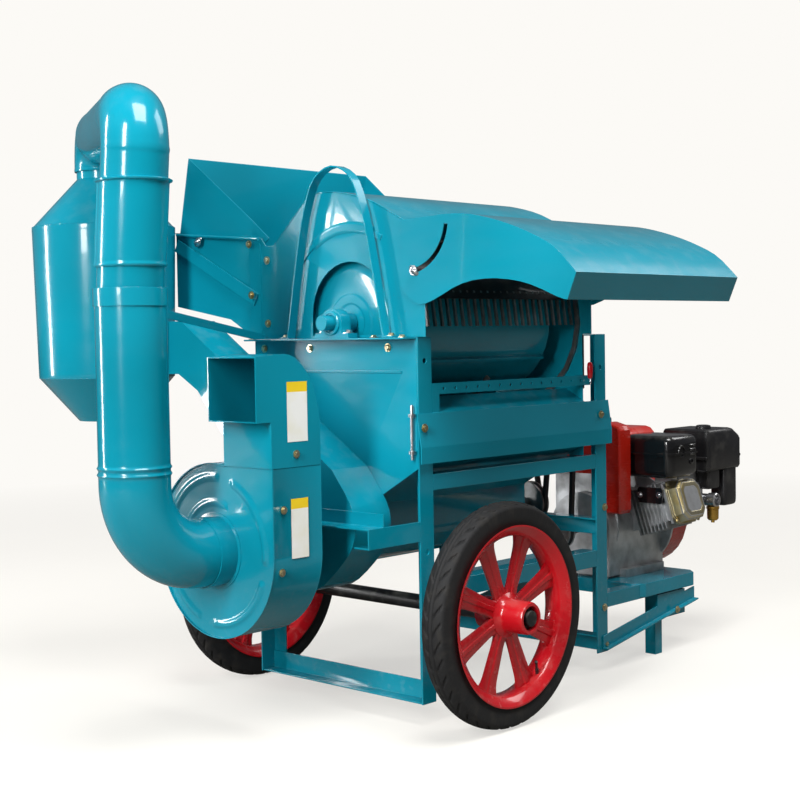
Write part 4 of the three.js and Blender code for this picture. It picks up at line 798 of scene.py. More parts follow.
@dataclass
class AirPipes:
    """The suction pipe, the gooseneck over to the cyclone, and the door in the gooseneck's upright."""

    middle_x: float = -216.5
    y: float = -458.0
    fan_z: float = 294.0
    fan_face: float = -293.3
    radius: float = 59.0
    upper_radius: float = 56.0
    wall: float = 2.2
    bend: float = 129.0
    top: float = 746.0
    foot: float = 716.0
    lean: float = 22.0
    arch_foot: float = 970.0
    elbow: float = 60.0
    neck: Triple = (-712.0, -153.0, 1003.0)
    door_low: float = 780.0
    door_high: float = 922.0
    door_from: float = -124.0
    door_to: float = 88.0
    door_depth: float = 1.4
    door_lift: float = 1.6
    door_folds: Triple = (5.0, 1.6, 1.8)
    beads: tuple[float, float] = (441.0, 452.0)
    bead_rise: float = 2.4
    bead_width: float = 2.6
    lip_rise: float = 1.6
    lip_width: float = 2.0
    end_depth: float = 4.0
    seam_bead: float = 0.9

    def make(self) -> None:
        """Builds both pipes and the door."""
        self.riser()
        self.gooseneck()
        self.door()

    def riser(self) -> None:
        """The lower pipe: straight from the fan, a quarter circle, then up past two pressed beads."""
        corner, turn_top = self.y + self.bend, self.fan_z + self.bend
        arc = ring(np.linspace(1.5 * np.pi, np.pi, 40), np.array([self.bend, 0]), np.array([0, self.bend]))
        arc += [corner, turn_top]
        start = np.stack([np.linspace(self.fan_face, corner, 8)[:-1], np.full(7, self.fan_z)], 1)
        heights = np.linspace(turn_top, self.top, 220)[1:]
        flat = np.vstack([start, arc, np.stack([np.full(len(heights), self.y), heights], 1)])
        path = np.column_stack([np.full(len(flat), self.middle_x), flat])
        z = path[:, 2]
        swell = self.bead_rise * sum(bell(z, middle, self.bead_width) for middle in self.beads)
        swell += self.lip_rise * bell(z, self.top, self.lip_width)
        swell[:len(start) + len(arc)] = 0
        pipe(path, np.array([1.0, 0, 0]), self.radius + swell, self.wall).stand_in("suction_pipe")

    def gooseneck(self) -> None:
        """The upper pipe: up with a slight lean, a quarter bend, a straight run and a quarter bend down.

        Both bends are quarter circles in the upright plane through the pipe's foot and the cyclone's neck.
        """
        up = np.array([0, 0, 1.0])
        sleeve = np.array([self.middle_x, self.y, self.top])
        upright = np.array([self.middle_x + self.lean, self.y, self.arch_foot])
        neck = np.array(self.neck)
        over = (neck - upright) * [1, 1, 0]
        over /= np.linalg.norm(over)
        turn = np.linspace(np.pi, np.pi / 2, 30)
        near = upright + self.elbow * over + self.elbow * ring(turn, over, up)
        far = neck - self.elbow * over + self.elbow * ring(turn - np.pi / 2, over, up)
        foot = sleeve + up * np.linspace(self.foot - self.top, 0, 6)[:-1, None]
        rise = sleeve + (upright - sleeve) * np.linspace(0, 1, 90)[:-1, None]
        run = near[-1] + (far[0] - near[-1]) * np.linspace(0, 1, 60)[1:-1, None]
        path = np.vstack([foot, rise, near, run, far, neck - self.end_depth * up])
        reach = np.concatenate([[0], np.cumsum(np.linalg.norm(np.diff(path, axis=0), axis=1))])
        bend_start = len(foot) + len(rise)
        seams = [*reach[[bend_start, bend_start + len(near), len(path) - len(far) - 1]], reach[-1] - 3]
        beads = sum(self.seam_bead * bell(reach, seam, 2.4) for seam in seams)
        radius = self.upper_radius - self.seam_bead + beads
        pipe(path, np.cross(over, up), radius, self.wall).stand_in("gooseneck")

    def door(self) -> None:
        """The inspection door: part of a cylinder round the upright, with a folded edge along its top, its
        bottom and one side.

        Its radius is the pipe's plus a lift, which is a sum of bell curves near the edges.
        """
        height, angle = np.meshgrid(np.linspace(self.door_low, self.door_high, 64),
                                    np.linspace(self.door_from, self.door_to, 96), indexing="ij")
        top, bottom, side = self.door_folds
        lift = self.door_lift + top * bell(height, self.door_high - 3, 2.6, 4)
        lift += bottom * bell(height, self.door_low + 3, 2.6, 4)
        lift += side * bell(angle, self.door_from + 4, 3.6, 4)
        middle = self.middle_x + self.lean * (height - self.top) / (self.arch_foot - self.top)
        cos, sin = np.cos(np.radians(angle)), np.sin(np.radians(angle))
        inside = self.upper_radius - self.door_depth
        outer, inner = (np.stack([middle + radius * cos, self.y + radius * sin, height], -1)
                        for radius in (self.upper_radius + lift, inside))
        loop = np.concatenate([outer, inner[:, ::-1]], axis=1)
        Shell().grid(place(loop), close_columns=True, caps=True).piece("gooseneck_door", Finish.TEAL)


@dataclass
class CycloneShell:
    """The dust cyclone: a turned sheet shell with dotted welds where its cones meet its barrel."""

    x: float = -712.0
    y: float = -153.0
    foot: float = 500.0
    mouth: float = 58.3
    neck: float = 51.4
    low_radius: float = 135.0
    low_z: float = 590.0
    high_radius: float = 142.0
    high_z: float = 886.0
    neck_z: float = 983.0
    top: float = 1012.0
    wall: float = 2.0
    weld_depth: float = 1.2

    def make(self) -> None:
        """Builds the shell and its welds."""
        low, high, neck = self.low_radius, self.high_radius, self.neck
        low_z, high_z, neck_z = self.low_z, self.high_z, self.neck_z
        outer = [[self.mouth, self.foot], [low - 1, low_z - 3], [low, low_z], [low + 0.2, low_z + 8],
                 [high - 0.3, high_z - 12], [high - 0.2, high_z - 9], [high, high_z - 6], [high, high_z],
                 [high - 1.8, high_z + 2], [neck + 3, neck_z - 2], [neck, neck_z + 1], [neck, self.top]]
        inner = [[r - self.wall, z] for r, z in reversed(outer)]
        Shell().turn(outer + inner, (self.x, self.y, 0), "Z", 128).stand_in("cyclone", crease=22.0)
        welds = Shell()
        for z, radius, dots in ((high_z + 1.5, high, 72), (low_z - 2, low, 68)):
            bead = weld((self.x, self.y, z), radius - self.weld_depth, dots)
            welds.grid(bead, close_rows=True, close_columns=True)
        welds.piece("cyclone_welds", Finish.TEAL)


@dataclass
class RoadWheels:
    """Two red spoked wheels with ribbed hubs and patterned tyres on one axle."""

    y: float = 98.0
    z: float = 162.0
    right_x: float = 110.0
    left_x: float = -543.0
    tyre_radius: float = 202.3
    tyre_half: float = 24.8
    rim_radius: float = 162.0
    rim_half: float = 29.0
    well: float = 146.0
    spokes: int = 8
    spoke_foot: float = 30.0
    hub_bore: float = 14.3
    valve_turn: float = 214.0
    valve_tilt: float = 0.35
    valve_offset: float = 10.0
    groove: float = 2.6
    crown: float = 12.5
    blocks: int = 40
    block_slant: float = 1.15
    side_rib: float = 0.5
    side_ribs: int = 180
    tyre_widest: float = 25.0

    def make(self) -> None:
        """Builds both wheels."""
        for side, x, sign in (("right", self.right_x, 1.0), ("left", self.left_x, -1.0)):
            centre = np.array([x, self.y, self.z])
            self.tyre(side, x)
            self.rim(side, centre, sign)
            self.small_parts(side, centre, sign)

    def tyre(self, side: str, x: float) -> None:
        """A round section carried round the wheel, sunk where the tread's grooves run.

        The section is half an ellipse; the groove's depth is a product of smooth steps of the angle round the
        wheel and the place across it, so that slanted blocks and a centre rib stand out.
        """
        around = full_turn(480)
        a, s = np.meshgrid(around, np.linspace(-np.pi / 2, np.pi / 2, 45), indexing="ij")
        u = np.sin(s)
        off = np.abs(u)
        slant = a * self.blocks / (2 * np.pi) + off * self.block_slant
        saw = np.abs((slant % 1) - 0.5) * 2
        lateral = ramp(-saw, -0.24, 0.1) * ramp(off, 0.2, 0.08) * ramp(-off, -0.9, 0.08)
        centre = ramp(-np.abs(off - 0.2), -0.07, 0.03)
        sunk = np.maximum(lateral, centre) * self.groove
        ribs = self.side_rib * np.clip(np.cos(a * self.side_ribs) * 3, -1, 1) * ramp(off, 0.93, 0.04)
        radius = self.tyre_radius - self.crown + self.crown * np.cos(s) - sunk * np.cos(s)
        side_x = self.tyre_half * u - np.sign(u) * (sunk * off + np.maximum(ribs, 0))
        wall = np.array([[178, 25.2], [170, 24.4], [164.5, 22.4], [158, 21], [152.6, 20], [146.4, 14]])
        left, right = (np.tile(rows.T[:, None], (1, len(around), 1)) for rows in (wall[::-1] * [1, -1], wall))
        sides_r = np.concatenate([left[0], radius, right[0]], 1)
        sides_x = np.clip(np.concatenate([left[1], side_x, right[1]], 1), -self.tyre_widest, self.tyre_widest)
        angle = around[:, None]
        y, z = self.y + sides_r * np.cos(angle), self.z + sides_r * np.sin(angle)
        points = np.stack([x + sides_x, y, z], -1)
        Shell().grid(place(points), close_rows=True, close_columns=True).stand_in("tyre_" + side, crease=38.0)

    def rim(self, side: str, centre: np.ndarray, sign: float) -> None:
        """A turned channel rim, tapered ribbed spokes and a stepped hub, joined as one casting."""
        half, well, top = self.rim_half, self.well, self.rim_radius
        outside = [[top, -half], [top - 1.5, -half + 2], [well + 6, -half + 10], [well, -half / 2]]
        inside = [[top - 3, half], [top - 6, half - 2], [well - 1, half - 9], [well - 4, half / 2]]
        channel = [row for side in (outside, inside) for row in side + [[r, -x] for r, x in side[::-1]]]
        shell = Shell().turn(channel, centre, "X", 144)
        bore = self.hub_bore
        hub = np.array([[bore, -48], [26, -48], [29, -45], [31, -20], [36, -14], [40, -6], [40, 8], [33, 14],
                        [30, 20], [29, 56], [27, 60], [22, 60], [21, 57], [21, 44], [bore, 44]])
        shell.turn(hub * [1, sign], centre, "X", 64)
        foot = self.spoke_foot
        r = np.linspace(foot, well - 1, 14)
        width = 13 + 7.5 * (r - foot) / (well - foot) + 6 * bell(r, well, 14) + 5 * bell(r, foot, 12)
        thick = 5.5 + 3 * bell(r, well, 16) + 4 * bell(r, foot, 14)
        quarter = [[-1, -0.45], [-0.82, -0.7], [-0.3, -0.7], [-0.2, -1]]
        lower = np.array([*quarter, *([-a, b] for a, b in quarter[::-1])])
        section = np.vstack([lower, -lower])
        for k in range(self.spokes):
            angle = 2 * np.pi * (k + 0.5) / self.spokes
            radial = np.array([0, np.cos(angle), np.sin(angle)])
            tangent = np.array([0, -np.sin(angle), np.cos(angle)])
            across, deep = (section[None, :, i] * size[:, None] for i, size in enumerate((width, thick)))
            points = r[:, None, None] * radial + across[..., None] * tangent + deep[..., None] * [1.0, 0, 0]
            shell.grid(place(points + centre), close_columns=True, caps=True)
        shell.stand_in("wheel_rim_" + side, crease=30.0)

    def small_parts(self, side: str, centre: np.ndarray, sign: float) -> None:
        """The bearing's seal in the hub's end, and the tyre's valve, which points from the rim to the hub."""
        body = side + "_wheel"
        seal = np.array([[14.4, 45], [20.8, 45], [20.8, 48], [19, 49], [14.4, 49]]) * [1, sign]
        Shell().turn(seal, centre, "X", 48).piece("hub_seal_" + side, Finish.BLACK_PLASTIC, body)
        valve = [[0, 0], [3.4, 0], [3.4, 12], [2.4, 13], [2.4, 28], [3, 28.5], [3, 33], [0, 34]]
        points = (turned(valve, np.zeros(3), "Z", 16, closed=False) - DATUM) / MM
        tilt = np.array(Matrix.Rotation(sign * self.valve_tilt, 3, "Y"))
        spin = np.array(Matrix.Rotation(math.radians(self.valve_turn), 3, "X"))
        foot = centre + spin @ [sign * self.valve_offset, 0, 0] + spin @ [0, 0, 1.0] * (self.well - 4)
        points = points @ tilt.T * [1, 1, -1] @ spin.T + foot
        Shell().grid(place(points), close_columns=True).piece("valve_" + side, Finish.BLACK_PLASTIC, body)


@dataclass
class FanHousing:
    """The suction fan's round housing: a pressed front with a ring of swages, a band, and rolled seams."""

    x: float = -216.5
    z: float = 294.0
    front: float = -293.0
    back: float = -181.0
    radius: float = 152.8
    duct_left: float = -186.0
    duct_top: float = 443.0
    collar: float = 61.3
    collar_front: float = -327.0
    tube: float = 32.7
    tube_end: float = -92.0
    bore: float = 12.3
    wall: float = 1.8
    swage_rise: float = 2.6
    outer_swage: float = 128.0
    inner_swage: float = 84.0
    gap_turn: float = 0.22
    inner_turn: float = 2.6

    def edge_radius(self, angle: np.ndarray) -> np.ndarray:
        """Distance from the fan's axis to the housing's outline.

        It is the circle's radius, except in the upper right corner, where it is the smaller of the distances
        to the duct's right wall and to its open top.
        """
        turn = angle % (2 * np.pi)
        corner_end = math.acos((self.duct_left - self.x) / self.radius)
        right = self.radius / np.maximum(np.cos(turn), 1e-6)
        top = (self.duct_top - self.z) / np.maximum(np.sin(turn), 1e-6)
        return np.where(turn < corner_end, np.minimum(right, top), self.radius)

    def plate(self, y: float, proud: float, hole: float) -> np.ndarray:
        """A polar grid from the hole to the outline, raised along the swages.

        Args:
            y: the plate's place.
            proud: how far the swages stand out, towards the front if it is negative.
            hole: the radius of the hole in the middle.

        Returns:
            The grid in metres.
        """
        corner = math.atan2(self.duct_top - self.z, self.radius)
        angles = np.sort(np.append(full_turn(288), [corner, 1e-5]))
        r = hole + (self.edge_radius(angles)[:, None] - hole) * np.linspace(0, 1, 44)[None]
        a = angles[:, None]
        quarters = ramp(np.abs(np.sin(2 * (a + self.gap_turn))), 0.22, 0.12)
        half = ramp(np.cos(a - self.inner_turn), 0.1, 0.1)
        swage = bell(r, self.outer_swage, 6.0, 4) * quarters + 0.8 * bell(r, self.inner_swage, 5.0, 4) * half
        return place(np.stack([self.x + r * np.cos(a), y + proud * swage, self.z + r * np.sin(a)], -1))

    def make(self) -> None:
        """Builds the housing: both plates, the wall round them, the pipe's collar and the shaft's tube."""
        shell = Shell().grid(self.plate(self.front + 3.0, -self.swage_rise, self.collar - 4), close_rows=True)
        shell.grid(self.plate(self.back, 0.0, 13.0), close_rows=True)
        angles = np.linspace(math.acos((self.duct_left - self.x) / self.radius), 2 * np.pi, 160)
        centre = np.array([self.x, self.z])
        rim = np.vstack([[self.duct_left, self.duct_top], centre + self.radius * ring(angles, *np.eye(2)),
                         [self.x + self.radius, self.duct_top]])
        away = (rim - centre) / np.linalg.norm(rim - centre, axis=1, keepdims=True)
        front, back = self.front, self.back
        deep = np.array([front, front + 1.2, front + 2.2, front + 3.0, front + 4.0, back - 1.5, back])
        grow = np.array([0.0, 0.2, 0.2, 0.0, -0.6, -0.6, 0.0])[:, None, None]
        outer, inner = (np.insert(rim + offset * away, 1, deep[:, None], axis=2)
                        for offset in (grow, np.full_like(grow, -self.wall)))
        shell.grid(place(np.concatenate([outer, inner[::-1]])), close_rows=True)
        axis, out = (self.x, 0, self.z), self.collar
        collar = [[out, self.collar_front], [out, front + 1], [out + 6, front + 1.5], [out + 6, front + 3.2],
                  [out - 2, front + 3.2], [out - 2, self.collar_front]]
        shell.turn(collar, axis, "Y", 96)
        shell.turn([[self.bore, self.tube_end], [self.tube, self.tube_end], [self.tube, back - 0.5],
                    [self.bore, back - 0.5]], axis, "Y", 64)
        shell.stand_in("suction_scroll", crease=30.0)


@dataclass
class Engine:
    """The engine's dress: muffler, air cleaner, cap, carburettor, valve cover, fan shroud and heat shield."""

    crank_x: float = -155.0
    crank_z: float = 232.0
    bore_y: float = 825.0
    tilt: float = 18.0
    cover_half: float = 48.0
    cap_x: float = -182.0
    cap_y: float = 802.5
    cap_foot: float = 447.3
    cap_top: float = 475.0
    cap_radius: float = 29.0
    flute_depth: float = 1.9
    flutes: int = 18
    cover_bolt: float = 41.0

    def make(self) -> None:
        """Builds the pieces."""
        self.muffler()
        self.air_cleaner()
        self.cap()
        self.carburettor()
        self.valve_cover()
        self.sheets()

    def muffler(self) -> None:
        """Two pressed half shells with a flanged seam, a rimmed outlet, three louvres and a port."""
        rows = [(345, 18), (346.5, 11), (350, 6), (356, 3.4), (363, 2.6), (395, 2.6), (395.6, 0), (399.4, 0),
                (400, 2.6), (420, 2.6), (427, 3.6), (432, 6), (435.6, 11), (437, 18)]
        body = Shell().stack(rounded((-84, 741), (50, 861), 20), rows, "Z")
        outlet = [[0, 46], [10, 46], [10, 50], [12.4, 50.2], [13.4, 48.6], [13.4, 44], [0, 44]]
        body.turn(outlet, (0, 785, 403), "X", 40)
        port = [[0, 44], [6.5, 44], [6.5, 49.6], [4.4, 50.2], [4, 47.5], [0, 47.5]]
        body.turn(port, (0, 824, 379), "X", 24)
        for z in (396.0, 405.0, 414.0):
            body.stack(rounded((817, z - 3), (840, z + 2.4), 2.2), [(46, 0), (48.6, 0), (50.2, 1.6)], "X")
        body.stand_in("muffler", Finish.GLOSS_BLACK, crease=32.0)

    def air_cleaner(self) -> None:
        """A moulded case with a cut corner, its lid, the intake and the horn below it, and the top knob."""
        case = [(925, 349), (929, 345), (1064, 345), (1069, 350), (1069, 416), (1062, 424), (1038, 438),
                (1030, 440), (929, 440), (925, 436)]
        rows = [(-92, 9), (-90, 4), (-86, 1), (-80, 0), (17, 0), (24, 1.2), (28, 4.2), (30, 9)]
        shell = Shell().stack(case, rows, "X")
        shell.stack(rounded((922, 372), (1072, 379), 2), [(-84, 0), (-83, 0), (25, 0), (26.5, 1.2)], "X")
        shell.stack(rounded((-10, 937), (24, 985), 6), [(305, 5), (307, 1), (312, 0), (352, 0)], "Z")
        horn = [(262, 7), (264, 2.6), (268, 0.6), (276, 0), (352, 0)]
        shell.stack(rounded((-14, 1003), (26, 1056), 8), horn, "Z")
        knob = [[0, 438], [17, 438], [17.5, 443], [16, 447.5], [12, 448.8], [0, 448.8]]
        shell.turn(knob, (-3, 958, 0), "Z", 40, closed=False)
        shell.stand_in("air_filter", Finish.CASE_BLACK, crease=32.0)

    def cap(self) -> None:
        """The filler cap: a turned profile whose skirt is fluted by the cosine of a multiple of the angle."""
        profile = np.array([[0, 0], [0.86, 0], [0.97, 0.03], [1, 0.14], [1, 0.66], [0.97, 0.76], [0.84, 0.84],
                            [0.6, 0.88], [0.5, 0.97], [0, 1.0]])
        flute = self.flute_depth * np.array([0, 0.4, 1, 1, 1, 1, 0.3, 0, 0, 0])[:, None]
        angles = full_turn(180)
        radius = self.cap_radius * profile[:, :1] + flute * np.cos(self.flutes * angles)[None]
        height = self.cap_foot + (self.cap_top - self.cap_foot) * profile[:, 1:]
        x, y = self.cap_x + radius * np.cos(angles), self.cap_y + radius * np.sin(angles)
        points = np.stack(np.broadcast_arrays(x, y, height), -1)
        Shell().grid(place(points), close_columns=True).stand_in("fuel_cap", crease=40.0)

    def carburettor(self) -> None:
        """A bright body across the intake, with its brass bowl and bowl nut below."""
        body = Shell().stack(rounded((904, 268), (946, 320), 6), [(-12, 0), (-2, 0), (2, 1)], "X")
        barrel = [[0, -4], [16, -4], [16, 8], [13.5, 10], [13.5, 30], [16, 32], [16, 50], [14.5, 51.5],
                  [11, 51.5], [11, 40], [0, 40]]
        body.turn(barrel, (0, 925, 284), "X", 48).piece("carburettor_body", Finish.BRIGHT)
        bowl = [[0, 234], [4, 234], [4, 238], [9, 239], [12.6, 243], [13, 264], [14.4, 265], [14.4, 270],
                [0, 270]]
        Shell().turn(bowl, (40, 925, 0), "Z", 40, closed=False).piece("carburettor_bowl", Finish.BRASS)

    def valve_cover(self) -> None:
        """The pressed eight-sided cover on the cylinder head, square to the bore's lean, with its bolts."""
        h = self.cover_half + 0.6
        k = h - self.cover_half / 3
        corners = [(-h, -k), (-k, -h), (k, -h), (h, -k), (h, k), (k, h), (-k, h), (-h, k)]
        rows = [(181.4, 0), (187.6, 0), (188.4, 2.4), (189, 4.0), (206, 5.2), (211, 6.6), (214.6, 9.4),
                (216.6, 13), (216.9, 20), (215.2, 22), (215.2, 40)]
        lean = np.array(Matrix.Rotation(-math.radians(self.tilt), 3, "Y"))
        base = np.array([self.crank_x, self.bore_y, self.crank_z])
        cover = stacked(corners, rows, "X") @ lean.T + base
        shell = Shell().grid(place(cover), close_columns=True, caps=True)
        shell.piece("valve_cover", Finish.ZINC, crease=20.0, edge=0.0008)
        reach = self.cover_bolt
        spots = np.array([(188.0, a * reach, b * reach) for a in (-1, 1) for b in (-1, 1)]) @ lean.T + base
        Bolts("valve_cover_bolts", [(*map(float, spot), Axis.HEAD) for spot in spots], 8.0).make()

    def sheets(self) -> None:
        """The orange fan shroud before the fins, and the muffler's black heat shield with two bolts."""
        shroud = [(268, -96), (268, -54), (276, -50), (449, -50), (458, -55), (466, -84), (466, -90),
                  (462, -94)]
        shell = Shell().stack(shroud, [(696, 4), (698, 1.2), (701, 0), (736, 0)], "Y")
        shell.piece("fan_shroud", Finish.ORANGE, crease=26.0)
        shell = Shell().stack(rounded((288, -54), (322, 9), 5), [(768, 0.6), (768.6, 0), (777, 0)], "Y")
        shell.piece("heat_shield", Finish.GLOSS_BLACK)
        spots = [(-47.0, 768.0, 305.0, Axis.FRONT), (1.0, 768.0, 307.0, Axis.FRONT)]
        Bolts("heat_shield_bolts", spots, 8.0, Finish.BRIGHT).make()


@dataclass
class DrumEnd:
    """The disc on the drum's end, the cap and rings on its bearing, and the shaft's spacer."""

    x: float = -185.0
    z: float = 686.0
    disc: float = 133.0
    disc_face: float = 20.4
    cap: float = 19.5
    cap_face: float = -36.2
    shaft: float = 14.6

    def make(self) -> None:
        """Builds the turned pieces: the disc and the spacer ride on the drum, the cap on the machine."""
        centre = (self.x, 0, self.z)
        r, f, c, y = self.disc, self.disc_face, self.cap, self.cap_face
        disc = [[15, f], [34, f], [38, f - 1.6], [52, f - 1.6], [56, f], [92, f], [95, f - 1], [101, f - 1],
                [104, f], [r, f], [r, f + 3], [15, f + 3]]
        Shell().turn(disc, centre, "Y", 128).piece("drum_end_disc", Finish.TEAL, "drum", crease=20.0)
        rings = [[self.shaft, y + 6], [c + 3, y + 6], [c + 3, y + 1.4], [c + 1, y], [c - 1.6, y],
                 [c - 2, y + 2.6], [c - 4, y + 2.6], [self.shaft, y + 1.6]]
        Shell().turn(rings, centre, "Y", 64).piece("bearing_cap", Finish.TEAL, crease=20.0)
        spacer = [[14.4, -7.4], [21, -7.4], [21, -3], [18.4, 0], [18.4, 18], [14.4, 18]]
        Shell().turn(spacer, centre, "Y", 56).piece("shaft_spacer", Finish.TEAL, "drum", crease=24.0)


@dataclass
class WingNuts:
    """Bright wing nuts on the studs of the hopper's leaf and of the hood's slot."""

    places: tuple[tuple[float, float, float, float], ...] = (
        (-3.9, -2.8, 776.0, 0.7), (-579.0, -19.6, 857.0, 2.4))
    ear: Triple = (7.2, 2.0, 4.6)
    ear_out: float = 8.6
    ear_up: float = 7.0
    ear_lean: float = 34.0

    def make(self) -> None:
        """Builds each nut: a turned boss with two ears, each ear an ellipsoid leaning away from the plate."""
        around = full_turn(20)
        u, v = np.meshgrid(np.linspace(0, np.pi, 14), around, indexing="ij")
        ball = np.stack([np.sin(u) * np.cos(v), np.cos(u), np.sin(u) * np.sin(v)], -1)
        for number, (x, y, z, turn) in enumerate(self.places):
            boss = [[0, -9], [3, -9], [3, -6.4], [5, -6], [6.6, -1.6], [9, -1.4], [9, 0], [0, 0]]
            shell = Shell().turn(boss, (x, y, z), "Y", 24, closed=False)
            spin = np.array(Matrix.Rotation(turn, 3, "Y"))
            for side in (-1, 1):
                lean = np.array(Matrix.Rotation(math.radians(self.ear_lean) * side, 3, "Z"))
                ear = (ball * self.ear + [self.ear_out * side, 0, 0]) @ lean.T - [0, self.ear_up, 0]
                shell.grid(place(ear @ spin.T + [x, y, z]), close_columns=True)
            shell.piece(f"wing_nut_{number}", Finish.BRIGHT, crease=50.0)


@dataclass
class WallTrim:
    """Folded strips, pressed arcs and rods on the chamber's ends, the hopper and the outlet."""

    arc_x: float = -168.0
    arc_z: float = 700.0
    arc_inner: float = 151.0
    arc_outer: float = 173.0
    arc_rise: float = 3.0
    drum_x: float = -185.0
    drum_z: float = 686.0
    sheet_radius: float = 172.6
    sheet_thick: float = 1.4
    rim_outer: tuple[float, float] = (-650.0, 875.0)
    rim_inner: tuple[float, float] = (-400.0, 853.0)
    rim_radius: float = 3.2
    lever_x: float = 7.3
    lever_y: float = 509.0

    def make(self) -> None:
        """Builds the trim."""
        self.arc()
        self.sheets()
        self.rims()
        self.lever()
        self.rod()

    def arc(self) -> None:
        """The pressed arc over the doorway: a low swell between two radii that dies away at both ends."""
        angles = np.radians(np.linspace(66, 126, 90))
        a, t = np.meshgrid(angles, np.linspace(0, 1, 12), indexing="ij")
        r = self.arc_inner + (self.arc_outer - self.arc_inner) * t
        ends = ramp(np.minimum(a - angles[0], angles[-1] - a), 0, 0.06)
        rise = self.arc_rise * ramp(np.minimum(t, 1 - t), 0, 0.22) ** 0.7 * ends
        points = np.stack([self.arc_x + r * np.cos(a), 0.15 - rise, self.arc_z + r * np.sin(a)], -1)
        Shell().grid(place(points)).piece("end_wall_arc", Finish.TEAL, crease=50.0)

    def sheets(self) -> None:
        """The hopper's strip; the curved sheet over the grate's upper bars, black as painted shade; and the
        rear post's plate, black as painted shade in the gap between the drum and the post.
        """
        angles = np.radians(np.linspace(14, 63, 40))
        inside = self.sheet_radius - self.sheet_thick
        curve = [np.stack([self.drum_z + r * np.sin(a), self.drum_x + r * np.cos(a)], -1)
                 for r, a in ((self.sheet_radius, angles), (inside, angles[::-1]))]
        strip, plate = rounded((664, -443), (846, -411), 6), rounded((548.4, -40), (657.6, -0.4), 1.5)
        for name, finish, outline, levels in (
                ("end_wall_strip", Finish.TEAL, strip, (-1.6, -1.2, 0.6)),
                # painted shade: a black sheet standing for the shadow over the grate's upper bars
                ("grate_sheet", Finish.BLACK_PAINT, np.concatenate(curve), (18, 482)),
                # painted shade: a black plate filling the shadowed gap between the drum and the rear post
                ("rear_corner_plate", Finish.BLACK_PAINT, plate, (498.3, 499.9))):
            Shell().stack(outline, [(y, 0) for y in levels], "Y").piece(name, finish, crease=30.0)

    def rims(self) -> None:
        """The rolled rims along the hopper tray's front and back lips: a small circle carried along each."""
        for name, y in (("front", -16.6), ("rear", 516.4)):
            path = np.insert(np.linspace(self.rim_outer, self.rim_inner, 12), 1, y, axis=1)
            rim = swept(path, np.array([0, 1.0, 0]), self.rim_radius, 16)
            shell = Shell().grid(rim, close_columns=True, caps=True)
            shell.piece(f"hopper_rim_{name}", Finish.TEAL)

    def lever(self) -> None:
        """The outlet's lever: a bent wire from its pivot with a red grip on it."""
        height = np.linspace(557, 574, 10)
        y = self.lever_y + 2.0 * np.sin((height - height[0]) / 6)
        wire = np.stack([np.full(len(y), self.lever_x), y, height], -1)
        shell = Shell().grid(swept(wire, np.array([1.0, 0, 0]), 2.2, 12), close_columns=True, caps=True)
        shell.piece("lever_wire", Finish.BRIGHT, "lever")
        grip = [[0, 568], [3.4, 568.6], [5, 572], [5.8, 580], [6, 590], [5.2, 598], [3.4, 601], [0, 602]]
        shell = Shell().turn(grip, (self.lever_x, self.lever_y, 0), "Z", 32, closed=False)
        shell.stand_in("outlet_lever", crease=40.0)

    def rod(self) -> None:
        """The slide's adjusting rod beside the front post, with a nut at each end of its travel."""
        nuts = [row for z in (450, 516) for row in ([3, z], [6.6, z + 0.4], [6.6, z + 6], [3, z + 6.4])]
        rod = [[0, 440], [3, 440], *nuts, [3, 536], [2, 538], [0, 538]]
        Shell().turn(rod, (-10, -7.2, 0), "Z", 24, closed=False).piece("adjusting_rod", Finish.BRIGHT)


@dataclass
class Labels:
    """Two blank stickers on the fan housing's flat side, each a white film with a plain coloured head."""

    top: float = -63.05
    under: float = -63.4
    spots: tuple[tuple[float, float, float, float], ...] = ((-257, 486, -211, 587), (-252, 289, -213, 390))
    head_share: float = 0.17

    def make(self) -> None:
        """Builds each film as a thin patch in two colours."""
        for number, (y0, z0, y1, z1) in enumerate(self.spots):
            split = z1 - (z1 - z0) * self.head_share
            for part, low, high, finish in (("sheet", z0, split, Finish.LABEL),
                                            ("head", split, z1, Finish.LABEL_HEAD)):
                y, z = np.meshgrid(np.linspace(y0, y1, 6), np.linspace(low, high, 8), indexing="ij")
                top, under = (place(np.stack([np.full_like(y, x), y, z], -1)) for x in (self.top, self.under))
                Shell().grid(top).grid(under[::-1]).piece(f"label_{number}_{part}", finish)


